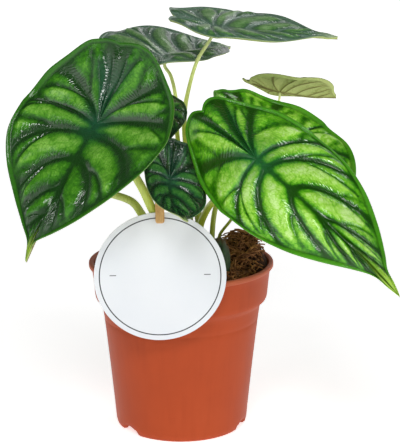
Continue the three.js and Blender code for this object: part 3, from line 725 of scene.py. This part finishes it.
# %% A smooth line through a stalk's points, evenly spaced along its length
def centripetal(points, count):
    points = np.asarray(points, float)
    points = np.vstack([2 * points[0] - points[1], points, 2 * points[-1] - points[-2]])
    t = np.linspace(0, 1, 40, endpoint=False)[:, None]
    dense = []
    for i in range(1, len(points) - 2):
        p0, p1, p2, p3 = points[i - 1 : i + 3]
        steps = ((p0, p1), (p1, p2), (p2, p3))
        d0, d1, d2 = (max(math.sqrt(np.linalg.norm(b - a)), 1e-4) for a, b in steps)
        m1 = ((p1 - p0) / d0 - (p2 - p0) / (d0 + d1) + (p2 - p1) / d1) * d1
        m2 = ((p2 - p1) / d1 - (p3 - p1) / (d1 + d2) + (p3 - p2) / d2) * d1
        cubic, square = 2 * p1 - 2 * p2 + m1 + m2, -3 * p1 + 3 * p2 - 2 * m1 - m2
        dense.append(((cubic * t + square) * t + m1) * t + p1)
    dense = np.vstack([*dense, points[-2:-1]])
    length = np.concatenate([[0], np.cumsum(np.linalg.norm(np.diff(dense, axis=0), axis=1))])
    even = np.linspace(0, length[-1], count)
    return np.stack([np.interp(even, length, dense[:, axis]) for axis in range(3)], 1)


# %% Sweep a section along a line
def sweep(line, radii, sides, channel):
    """A closed tube: rings round the line, carried along without twisting, and a cap at each end."""
    tangent = np.gradient(line, axis=0)
    tangent /= np.linalg.norm(tangent, axis=1, keepdims=True)
    normal = np.cross(tangent[0], [0.3, 1.0, 0.2])
    rings = []
    angles = np.linspace(0, 2 * np.pi, sides, endpoint=False)
    section = 1 + channel * np.cos(angles) - channel * near(angles - np.pi, 0.45)
    for centre, ahead, radius in zip(line, tangent, radii):
        normal = normal - ahead * normal.dot(ahead)
        normal /= np.linalg.norm(normal)
        other = np.cross(ahead, normal)
        circle = np.cos(angles)[:, None] * normal + np.sin(angles)[:, None] * other
        rings.append(centre + circle * (radius * section)[:, None])
    points = np.vstack([*rings, line[:1], line[-1:]])
    grid = ring_grid(len(line), sides)
    faces = quads(grid)[:, FLIP].tolist()
    first, last = len(points) - 2, len(points) - 1
    for k in range(sides):
        faces.append((first, grid[0, k + 1], grid[0, k]))
        faces.append((last, grid[-1, k], grid[-1, k + 1]))
    share = np.concatenate([np.repeat(np.linspace(0, 1, len(line)), sides), [0, 1]])
    return points, faces, share


# %% Make the nine stalks
# A stalk leaves the coir upright, and comes up to its blade at a right angle.
STALK_SKIN = stalk_finish()
for leaf_name, (foot, by, (low, high)) in STALKS.items():
    leaf = LEAVES[leaf_name]
    out = blade_axes(leaf)[2]
    at = np.array(leaf["at"], float)
    ground = soil_top(*foot)
    points = [(*foot, ground - STALK_DEPTH), (*foot, ground), (*foot, ground + 6), *by]
    points += [at - out * (5 + BLADE), at - out * (BLADE + UNDER_BLADE)]
    radii = low + (high - low) * ease(np.linspace(0, 1, STALK_RINGS), 0, 1)
    points, faces, share = sweep(centripetal(points, STALK_RINGS), radii, STALK_SIDES, channel=0.07)
    name = leaf_name.replace("leaf", "stalk")
    mesh = shape(name, points, faces, share=share)
    finish_piece(name, mesh, [name], STALK_SKIN, weld=1e-8)

# %% [markdown]
# ## The pot
# A thermoformed pot is one turned profile: a rolled lip, a wider collar that ends in a step, a tapering
# body and a recessed floor. Three half-round arches let water out under the foot. The profile is turned
# here by code instead of with a Screw modifier, because each angle can then lift its own foot to make the
# arches. The drain holes are cut afterwards with a Boolean.

# %% Pot finish
def pot_finish():
    skin = Finish("pot_plastic")
    cloud = skin.noise(14, 4, 0.6)
    grain = skin.noise(1600, 3, 0.6)
    streak = skin.noise(260, 3, 0.5, vector=skin.upright(0.05))
    colour = skin.ramp(cloud, [(0.25, "a3421f"), (0.5, "ac4722"), (0.75, "b34d27")])
    colour = skin.mix(skin.remap(streak, 0.4, 0.8, 0.0, 0.25), colour, "9a3c1c")
    colour = skin.mix(skin.times(skin.read("lip"), 0.6), colour, "b8684a")
    dust = skin.times(skin.remap(skin.noise(300, 5, 0.7), 0.55, 0.75), skin.read("inside"))
    colour = skin.mix(dust, colour, "4a2c1c")
    normal = skin.bump(grain, 0.00006, 0.35)
    normal = skin.bump(streak, 0.0002, 0.25, normal)
    rough = skin.remap(cloud, 0.2, 0.8, 0.42, 0.56)
    return skin.done(Base_Color=colour, Roughness=rough, Normal=normal, Specular_IOR_Level=0.15)


# %% The pot's profile, from the middle of its floor down, round the outside and back inside
RIM, HEIGHT, FOOT = 60.0, 110.0, 41.5
BODY, STEP = 51.6, 4.4
COLLAR = BODY + STEP
POT_PROFILE = [
    (0, 5), (20, 5), (FOOT - 3.4, 5), (FOOT - 3, 4.4), (FOOT - 3, 0.4), (FOOT - 2.6, 0), (FOOT - 0.4, 0),
    (FOOT, 0.4), (FOOT + 1.2, 1.4), (FOOT + 1.8, 4), (44.2, 14), (46.8, 40), (49.4, 64),
    (50.35, 72.1), (50.15, 72.7), (50.5, 73.3), (BODY - 0.1, 80.5), (BODY + 0.4, 82.2),
    (BODY + 1.2, 83.6), (COLLAR - 0.5, 86.2), (COLLAR, 87.4), (COLLAR + 0.35, 90), (57.2, 99),
    (RIM - 1.9, 106), (RIM - 1.5, 106.7), (RIM - 0.5, 107), (RIM, 107.6), (RIM, 109.2),
    (RIM - 0.3, 109.8), (RIM - 1, HEIGHT), (RIM - 2.3, HEIGHT), (RIM - 3, 109.6), (RIM - 3.2, 106),
    (COLLAR - 1.5, 88), (BODY - 1.5, 83), (FOOT - 1.1, 7.5), (FOOT - 2.2, 6.5), (0, 6.5),
]
ARCH_TURNS, ARCH_WIDTH, ARCH_HEIGHT = (-142, -22, 98), 17.0, 5.5
ARCH_TOP = 4.9  # the foot's inner wall is lifted no higher than just under the floor
POT_SIDES = 216


def densify(profile, step):
    """Extra points along the long stretches, so that shading and the arches have something to bend."""
    made = [profile[0]]
    for (r0, z0), (r1, z1) in zip(profile, profile[1:]):
        parts = max(1, int(math.hypot(r1 - r0, z1 - z0) / step))
        made += [(r0 + (r1 - r0) * i / parts, z0 + (z1 - z0) * i / parts) for i in range(1, parts + 1)]
    return made


# %% Turn the profile and lift the foot over the arches
def pot_mesh():
    profile = np.array(densify(POT_PROFILE, 3.0))
    points, inside, lip = [], [], []
    outer = int(np.argmax(profile[:, 1]))
    for angle in np.linspace(0, 2 * np.pi, POT_SIDES, endpoint=False):
        away = min(abs((math.degrees(angle) - turn + 180) % 360 - 180) for turn in ARCH_TURNS)
        across = math.radians(away) * FOOT / (ARCH_WIDTH / 2)
        arch = ARCH_HEIGHT * math.sqrt(max(0.0, 1 - across**2)) if across < 1 else 0.0
        for i, (r, z) in enumerate(profile):
            if i < outer and r > FOOT - 3.2 and z < arch:
                z = min(arch, ARCH_TOP) if r < FOOT - 2 else arch
            points.append((r * math.cos(angle), r * math.sin(angle), z))
            inside.append(1.0 if i > outer else 0.0)
            lip.append(float(ease(z, 106.2, 107.2)))
    grid = np.arange(len(points)).reshape(POT_SIDES, len(profile))
    mesh = shape("pot", points, quads(np.vstack([grid, grid[:1]])), inside=inside, lip=lip)
    with editing(mesh) as shell:
        bmesh.ops.remove_doubles(shell, verts=shell.verts, dist=1e-6)
        bmesh.ops.recalc_face_normals(shell, faces=shell.faces)
    return mesh


# %% Cut the drain holes
DRAIN_RADIUS, DRAIN_FROM_AXIS, FLOOR_MIDDLE, DRILL_LENGTH = 3.5, 28, 5.75, 6


def drill_at(turn):
    """A short rod that stands through the pot's floor."""
    angle = math.radians(turn)
    spot = put([DRAIN_FROM_AXIS * math.cos(angle), DRAIN_FROM_AXIS * math.sin(angle), FLOOR_MIDDLE])
    mesh = bpy.data.meshes.new("drill")
    radius = DRAIN_RADIUS / 1000
    sizes = dict(radius1=radius, radius2=radius, depth=DRILL_LENGTH / 1000)
    with editing(mesh) as rod:
        bmesh.ops.create_cone(rod, cap_ends=True, segments=40, **sizes)
        bmesh.ops.translate(rod, verts=rod.verts, vec=Vector(spot))
    return show("drill", mesh)


def applied(thing, keep_layers):
    """The mesh of an object with its modifiers applied."""
    bpy.context.view_layer.update()
    seen = bpy.context.evaluated_depsgraph_get()
    result = thing.evaluated_get(seen)
    return bpy.data.meshes.new_from_object(result, preserve_all_data_layers=keep_layers, depsgraph=seen)


blank = show("pot_blank", pot_mesh())
drills = [drill_at(turn) for turn in ARCH_TURNS]
for drill in drills:
    hole = blank.modifiers.new("cut", "BOOLEAN")
    hole.object, hole.operation, hole.solver = drill, "DIFFERENCE", "EXACT"
drained = applied(blank, keep_layers=True)
for tool in (blank, *drills):
    bpy.data.objects.remove(tool, do_unlink=True)
finish_piece("pot", drained, ["pot"], pot_finish())

# %% [markdown]
# ## The coir
# Coir is shredded coconut husk: dark crumb with loose, springy fibres on top. The crumb is a mound whose
# surface is pushed about by noise. The fibres are far too many to draw by hand, so a Geometry Nodes tree
# scatters them over the mound: one curved fibre, copied to random points with a random turn and size.

# %% Coir finishes
def crumb_finish():
    skin = Finish("coir_crumb")
    lump, crumb, speck = skin.noise(120, 5, 0.7), skin.noise(700, 5, 0.75), skin.cells(900)
    colour = skin.ramp(lump, [(0.25, "180e08"), (0.5, "331f13"), (0.75, "573720")])
    colour = skin.mix(skin.remap(crumb, 0.5, 0.8, 0.0, 0.7), colour, "7a5230")
    normal = skin.bump(crumb, 0.0012, 0.9)
    normal = skin.bump(speck, 0.0006, 0.6, normal)
    return skin.done(Base_Color=colour, Roughness=0.95, Normal=normal, Specular_IOR_Level=0.2)


def fibre_finish():
    skin = Finish("coir_fibre")
    lump, hair = skin.noise(260, 3, 0.6), skin.noise(2600, 2, 0.5)
    colour = skin.ramp(lump, [(0.3, "4a2e1a"), (0.48, "8e5f38"), (0.62, "bc8652"), (0.78, "dcae76")])
    colour = skin.mix(skin.remap(hair, 0.4, 0.8, 0.0, 0.5), colour, "2e1c12")
    normal = skin.bump(hair, 0.0002, 0.6)
    return skin.done(Base_Color=colour, Roughness=0.8, Normal=normal, Specular_IOR_Level=0.3)


CRUMB, FIBRE = crumb_finish(), fibre_finish()

# %% The crumb: a mound with a rough top that fills the pot
COIR_SIDES, COIR_RINGS, COIR_RADIUS = 176, 52, 56.2
COIR_WALL = [(54.1, 88.3), (49.7, 83.3), (FOOT - 1.5, 6.8)]  # down the inside of the pot


def coir_mesh():
    angles = [2 * math.pi * k / COIR_SIDES for k in range(COIR_SIDES)]
    points = []
    for ring in range(COIR_RINGS + 1):
        radius = COIR_RADIUS * ring / COIR_RINGS
        keep = 1 - float(ease(radius, 52.5, 56))  # nothing is pushed out of place at the rim
        for angle in angles:
            x, y = radius * math.cos(angle), radius * math.sin(angle)
            spot = Vector((x * 0.11, y * 0.11, 3.7))
            rough = 1.5 * noise.fractal(spot, 1.0, 2.1, 5) + 0.9 * noise.noise(spot * 5.3)
            shoulder = 5.5 * math.exp(-(((x - 50) / 9) ** 2) - ((y - 2) / 15) ** 2)
            points.append((x, y, float(soil_top(x, y)) + (rough + shoulder - 1.4) * keep))
    for radius, height in COIR_WALL:
        points += [(radius * math.cos(angle), radius * math.sin(angle), height) for angle in angles]
    points.append((0, 0, COIR_WALL[-1][1]))
    grid = ring_grid(COIR_RINGS + 1 + len(COIR_WALL), COIR_SIDES)
    faces = quads(grid).tolist()
    faces += [(a, len(points) - 1, b) for a, b in zip(grid[-1], grid[-1, 1:])]
    return shape("coir_mound", points, faces)


crumb = finish_piece("coir_mound", coir_mesh(), ["coir"], CRUMB, weld=1e-6)


# %% A tree of Geometry Nodes that scatters curved fibres over a surface
def fibre_tree():
    tree = bpy.data.node_groups.new("scatter_fibres", "GeometryNodeTree")
    add = tree.interface.new_socket
    add("Surface", in_out="INPUT", socket_type="NodeSocketGeometry")
    for label in ("Length", "Bow", "Thickness", "Density", "Reach"):
        add(label, in_out="INPUT", socket_type="NodeSocketFloat")
    add("Seed", in_out="INPUT", socket_type="NodeSocketInt")
    add("Fibres", in_out="OUTPUT", socket_type="NodeSocketGeometry")
    given = tree.nodes.new("NodeGroupInput").outputs

    def node(kind, values=None, **settings):
        return add_node(tree, kind, values, **settings).outputs

    def calculate(operation, first, second):
        return node("ShaderNodeMath", {0: first, 1: second}, operation=operation)[0]

    def random(kind, first_input, low, high, shift):
        seed = calculate("ADD", given["Seed"], shift)
        values = {first_input: low, first_input + 1: high, "Seed": seed}
        return node("FunctionNodeRandomValue", values, data_type=kind)

    # Fibres lie where the surface faces up, within reach of the pot's axis.
    slope = node("ShaderNodeSeparateXYZ", {0: node("GeometryNodeInputNormal")["Normal"]})["Z"]
    place = node("GeometryNodeInputPosition")[0]
    flat = node("ShaderNodeVectorMath", {0: place, 1: (1, 1, 0)}, operation="MULTIPLY")[0]
    from_axis = node("ShaderNodeVectorMath", {0: flat, 1: tuple(pot_axis)}, operation="DISTANCE")["Value"]
    within = calculate("LESS_THAN", from_axis, given["Reach"])
    chosen = calculate("MULTIPLY", calculate("GREATER_THAN", slope, 0.2), within)
    spread = {"Mesh": given["Surface"], "Selection": chosen}
    spread.update({"Density": given["Density"], "Seed": given["Seed"]})
    spots = node("GeometryNodeDistributePointsOnFaces", spread)["Points"]

    # One fibre is a bow with a three-sided section.
    start = node("ShaderNodeCombineXYZ", {"X": calculate("MULTIPLY", given["Length"], -0.5)})[0]
    end = node("ShaderNodeCombineXYZ", {"X": calculate("MULTIPLY", given["Length"], 0.5)})[0]
    bow = node("ShaderNodeCombineXYZ", {"Y": given["Bow"], "Z": given["Bow"]})[0]
    bent = {"Resolution": 6, "Start": start, "Middle": bow, "End": end}
    curve = node("GeometryNodeCurveQuadraticBezier", bent)[0]
    circle = node("GeometryNodeCurvePrimitiveCircle", {"Resolution": 3, "Radius": given["Thickness"]})[0]
    tube = {"Curve": curve, "Profile Curve": circle, "Fill Caps": True}
    fibre = node("GeometryNodeCurveToMesh", tube)[0]

    turn = random("FLOAT_VECTOR", 0, (-0.5, -0.55, 0.0), (0.9, 0.55, 6.28), 11)[0]
    size = random("FLOAT", 2, 0.45, 1.25, 23)[1]
    copies = {"Points": spots, "Instance": fibre, "Rotation": turn, "Scale": size}
    real = node("GeometryNodeRealizeInstances", {0: node("GeometryNodeInstanceOnPoints", copies)[0]})[0]
    coated = node("GeometryNodeSetMaterial", {"Geometry": real, "Material": FIBRE})[0]
    tree.links.new(coated, tree.nodes.new("NodeGroupOutput").inputs[0])
    return tree


FIBRE_TREE = fibre_tree()


# %% Scatter three kinds of fibre: short bits, springy curls and long loose strands
def scatter(name, surface, **inputs):
    carrier = show("carrier", surface.data.copy())
    modifier = carrier.modifiers.new("fibres", "NODES")
    modifier.node_group = FIBRE_TREE
    for item in FIBRE_TREE.interface.items_tree:
        if item.in_out == "INPUT" and item.name in inputs:
            modifier[item.identifier] = inputs[item.name]
    mesh = applied(carrier, keep_layers=False)
    bpy.data.objects.remove(carrier, do_unlink=True)
    mesh.name = name
    return finish_piece(name, mesh, [], FIBRE)


bits = dict(Length=0.007, Bow=0.002, Thickness=0.0005, Density=200000.0, Seed=3, Reach=0.0525)
curls = dict(Length=0.013, Bow=0.005, Thickness=0.0005, Density=95000.0, Seed=17, Reach=0.0495)
strands = dict(Length=0.018, Bow=0.006, Thickness=0.0004, Density=26000.0, Seed=29, Reach=0.0445)
scatter("coir_bits", crumb, **bits)
scatter("coir_curls", crumb, **curls)
scatter("coir_strands", crumb, **strands)

# %% [markdown]
# ## The card and its peg
# The card is a die-cut disc of thick white board with a thin printed ring and two short printed dashes.
# The ring is drawn by the material from the distance to the disc's centre, so it is perfectly round at any
# size. The peg is two small wooden legs and a wire spring.

# %% Card finish
CARD_RADIUS, CARD_THICKNESS, CARD_CENTRE, CARD_TURN = 40.5, 0.6, (-12, -61.6, 116), 3.0
# The print is measured in metres, as the material is: where its middle lies, and half its width.
RING_RADIUS, RING_HALF = 0.0371, 0.00036
DASH_ACROSS, DASH_UP, DASH_HALF_LENGTH, DASH_HALF_WIDTH = 0.0288, 0.0012, 0.002, 0.00025


def card_finish():
    skin = Finish("card_white")

    def stroke(value, middle, half_width, blur):
        """1 within half a width of the middle, and 0 past it."""
        away = skin.math("ABSOLUTE", skin.minus(value, middle))
        return skin.remap(away, half_width - blur, half_width + blur, 1.0, 0.0)

    from_centre = {0: skin.place, 1: tuple(put(CARD_CENTRE))}
    offset = skin.node("ShaderNodeVectorMath", from_centre, operation="SUBTRACT").outputs[0]
    across = skin.node("ShaderNodeSeparateXYZ", {"Vector": offset}).outputs
    distance = skin.node("ShaderNodeVectorMath", {0: offset}, operation="LENGTH").outputs["Value"]
    ring = stroke(distance, RING_RADIUS, RING_HALF, 0.00006)
    dash = stroke(skin.math("ABSOLUTE", across["X"]), DASH_ACROSS, DASH_HALF_LENGTH, 0.0001)
    dash = skin.times(dash, stroke(across["Z"], DASH_UP, DASH_HALF_WIDTH, 0.00005))
    ink = skin.times(skin.math("MAXIMUM", ring, dash), skin.read("face"))
    pulp = skin.noise(900, 4, 0.65)
    colour = skin.ramp(skin.noise(30, 2, 0.5), [(0.3, "dee1e5"), (0.7, "d9dde2")])
    colour = skin.mix(skin.remap(pulp, 0.55, 0.8, 0.0, 0.06), colour, "c9c4b8")
    colour = skin.mix(ink, colour, "2a2c30")
    return skin.done(Base_Color=colour, Roughness=0.5, Normal=skin.bump(pulp, 0.00004, 0.4))


# %% Card
def card_mesh(sides=192):
    half = CARD_THICKNESS / 2
    rings = [(0, -half), (20, -half), (CARD_RADIUS - 0.12, -half), (CARD_RADIUS, -half + 0.1)]
    rings += [(r, -h) for r, h in reversed(rings)]
    points, face = [], []
    turn = math.radians(CARD_TURN)
    for radius, depth in rings:
        for k in range(sides):
            angle = 2 * math.pi * k / sides
            u, w = radius * math.cos(angle), radius * math.sin(angle)
            x, y = u * math.cos(turn) - depth * math.sin(turn), u * math.sin(turn) + depth * math.cos(turn)
            points.append((CARD_CENTRE[0] + x, CARD_CENTRE[1] + y, CARD_CENTRE[2] + w))
            face.append(1.0 if depth < 0 and radius < CARD_RADIUS else 0.0)
    return shape("card", points, quads(ring_grid(len(rings), sides))[:, FLIP], face=face)


finish_piece("card", card_mesh(), ["card"], card_finish(), weld=1e-7, smooth=False)


# %% Wood and wire
def wood_finish():
    skin = Finish("peg_wood")
    grain = skin.noise(2200, 4, 0.6, vector=skin.upright(0.06), distortion=0.4)
    colour = skin.ramp(grain, [(0.3, "a87a42"), (0.5, "c99e62"), (0.7, "dab57e")])
    colour = skin.mix(skin.remap(skin.noise(150, 3, 0.6), 0.4, 0.8, 0.0, 0.4), colour, "b88a4e")
    return skin.done(Base_Color=colour, Roughness=0.62, Normal=skin.bump(grain, 0.00012, 0.6))


def wire_finish():
    skin = Finish("peg_wire")
    scuff = skin.noise(2500, 3, 0.6)
    colour = skin.ramp(scuff, [(0.3, "8c9296"), (0.7, "b8bdc0")])
    rough = skin.remap(scuff, 0.3, 0.7, 0.22, 0.42)
    return skin.done(Base_Color=colour, Roughness=rough, Metallic=1.0)


# %% Round the edges of the peg's legs and of its wire
def soften(name, material, radius, segments=3):
    """A copy of a solid with its edges rounded, in place of the solid itself."""
    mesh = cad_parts[name].data.copy()
    rounding = dict(offset=radius, segments=segments, affect="EDGES", profile=0.6, clamp_overlap=True)
    with editing(mesh) as shell:
        bmesh.ops.remove_doubles(shell, verts=shell.verts, dist=1e-6)
        flat = math.radians(2)
        bmesh.ops.dissolve_limit(shell, angle_limit=flat, verts=shell.verts, edges=shell.edges)
        sharp = [edge for edge in shell.edges if edge.calc_face_angle(0) > math.radians(35)]
        bmesh.ops.bevel(shell, geom=sharp, **rounding)
        bmesh.ops.recalc_face_normals(shell, faces=shell.faces)
    return finish_piece(name, mesh, [name], material)


WOOD, WIRE = wood_finish(), wire_finish()
for leg in ("peg_front_leg", "peg_rear_leg"):
    soften(leg, WOOD, 0.00045)
soften("peg_spring", WIRE, 0.00002, 1)

# %% [markdown]
# ## The old leaf base
# When a leaf dies back, the sheath at the foot of its stalk stays as a dark, split strip. It is a thin
# curved wall with a ragged top, made as a grid so that every column can end at its own height.

# %% Finish of the old leaf base
def sheath_finish():
    skin = Finish("old_leaf_base")
    streak = skin.noise(1100, 4, 0.65, vector=skin.upright(0.1))
    colour = skin.ramp(skin.noise(200, 3, 0.6), [(0.3, "16280f"), (0.55, "24431a"), (0.8, "35591f")])
    colour = skin.mix(skin.remap(streak, 0.45, 0.8, 0.0, 0.6), colour, "0f1c0a")
    colour = skin.mix(skin.read("ragged"), colour, "4a3a1c")
    return skin.done(Base_Color=colour, Roughness=0.6, Normal=skin.bump(streak, 0.0004, 0.7))


# %% Old leaf base
SHEATH = dict(foot=(26.5, -33), height=25, width=10.6, depth=12)
SHEATH_TOP = (0.9, 0.98, 0.93, 0.99, 0.9, 0.94, 0.8, 0.74, 0.5)  # how high its edge reaches, from the left
SHEATH_WALL = 1.1


def sheath_mesh(columns=40, rows=30):
    foot_x, foot_y = SHEATH["foot"]
    bottom = float(soil_top(foot_x, foot_y)) - SHEATH["depth"]
    half = SHEATH["width"] / 2
    rng = np.random.default_rng(5)
    top = np.interp(np.linspace(0, 1, columns), np.linspace(0, 1, len(SHEATH_TOP)), SHEATH_TOP)
    top = top + rng.uniform(-0.04, 0.02, columns)
    points, ragged = [], []
    for face in (0, 1):
        for i in range(columns):
            share = 2 * i / (columns - 1) - 1
            for j in range(rows):
                up = j / (rows - 1)
                y = foot_y + 0.8 + 2.3 * share**2 + face * SHEATH_WALL + 0.25 * math.sin(7 * share + 4 * up)
                z = bottom + (SHEATH["depth"] + SHEATH["height"] * top[i]) * up
                points.append((foot_x + half * share * (1 - 0.08 * up), y, z))
                ragged.append(float(ease(up, 0.88, 1.0)))
    count = columns * rows
    grid = np.arange(count).reshape(columns, rows)
    faces = [*quads(grid), *quads(grid + count)[:, ::-1]]
    loop = [*grid[:, 0], *grid[-1, 1:], *grid[-2::-1, -1], *grid[0, -2:0:-1]]
    faces += [(b, a, a + count, b + count) for a, b in zip(loop, loop[1:] + loop[:1])]
    return shape("leaf_base_old", points, faces, ragged=ragged)


finish_piece("leaf_base_old", sheath_mesh(), ["leaf_base_old"], sheath_finish(), weld=1e-8)

# %% [markdown]
# ## Camera, floor and light
# The view repeats the photograph's: a long lens from the front, a little above the plant and tilted down.
# The set is a pale floor under soft lights, so the glossy leaves have something broad to reflect.

# %% Camera
CAMERA_PLACE, CAMERA_TILT, CAMERA_LENS = (12.3, -950, 370), 13.9, 136.1

camera_data = bpy.data.cameras.new("camera")
camera_data.sensor_fit, camera_data.sensor_width, camera_data.lens = "HORIZONTAL", 36.0, CAMERA_LENS
camera = show("camera", camera_data)
camera.location = put(CAMERA_PLACE)
camera.rotation_euler = (math.radians(90 - CAMERA_TILT), 0, 0)
bpy.context.scene.camera = camera


# %% Floor
def floor_finish():
    skin = Finish("floor_white")
    colour = skin.ramp(skin.noise(3, 3, 0.5), [(0.3, "f0f0f0"), (0.7, "f4f4f4")])
    far = skin.node("ShaderNodeVectorMath", {0: skin.place}, operation="LENGTH").outputs["Value"]
    glow = skin.remap(far, 0.4, 2.0, 0.68, 1.0)
    return skin.done(Base_Color=colour, Roughness=0.9, Emission_Color=(1, 1, 1, 1), Emission_Strength=glow)


floor_data = bpy.data.meshes.new("floor")
floor_data.from_pydata([(-8, -6, 0), (8, -6, 0), (8, 10, 0), (-8, 10, 0)], [], [(0, 1, 2, 3)])
floor_data.materials.append(floor_finish())
floor = show("floor", floor_data)

# %% Sky
# It is white at the horizon, where it continues the floor, and dim overhead, so the lamps model the leaves.
world = bpy.data.worlds.new("studio")
bpy.context.scene.world = world
world.use_nodes = True
sky = world.node_tree
upward = add_node(sky, "ShaderNodeTexCoord").outputs["Generated"]
height = add_node(sky, "ShaderNodeSeparateXYZ", {0: upward}).outputs["Z"]
fade = {"Value": height, "From Min": 0.04, "From Max": 0.45, "To Min": 1.0, "To Max": 0.09}
fade = add_node(sky, "ShaderNodeMapRange", fade, interpolation_type="SMOOTHSTEP").outputs["Result"]
sky.nodes["Background"].inputs["Color"].default_value = (1.0, 1.0, 1.0, 1.0)
sky.links.new(fade, sky.nodes["Background"].inputs["Strength"])


# %% Lamps
def softbox(name, place, aim, size, power):
    data = bpy.data.lights.new(name, "AREA")
    data.shape, data.energy = "RECTANGLE", power
    data.size, data.size_y = size
    made = show(name, data)
    made.location = place
    made.rotation_euler = (Vector(aim) - Vector(place)).to_track_quat("-Z", "Y").to_euler()


softbox("key", (-0.1, -1.05, 1.05), (0, 0, 0.14), (0.5, 0.28), 6.6)
softbox("left_strip", (-1.1, -0.75, 0.95), (0, 0, 0.2), (0.14, 0.7), 1.1)
softbox("right_front", (0.75, -1.05, 0.66), (0, 0, 0.12), (0.3, 0.5), 3.7)
softbox("back", (0.65, 1.15, 1.05), (0, 0, 0.2), (0.8, 0.35), 2.6)
bpy.context.scene.view_settings.view_transform = "Standard"
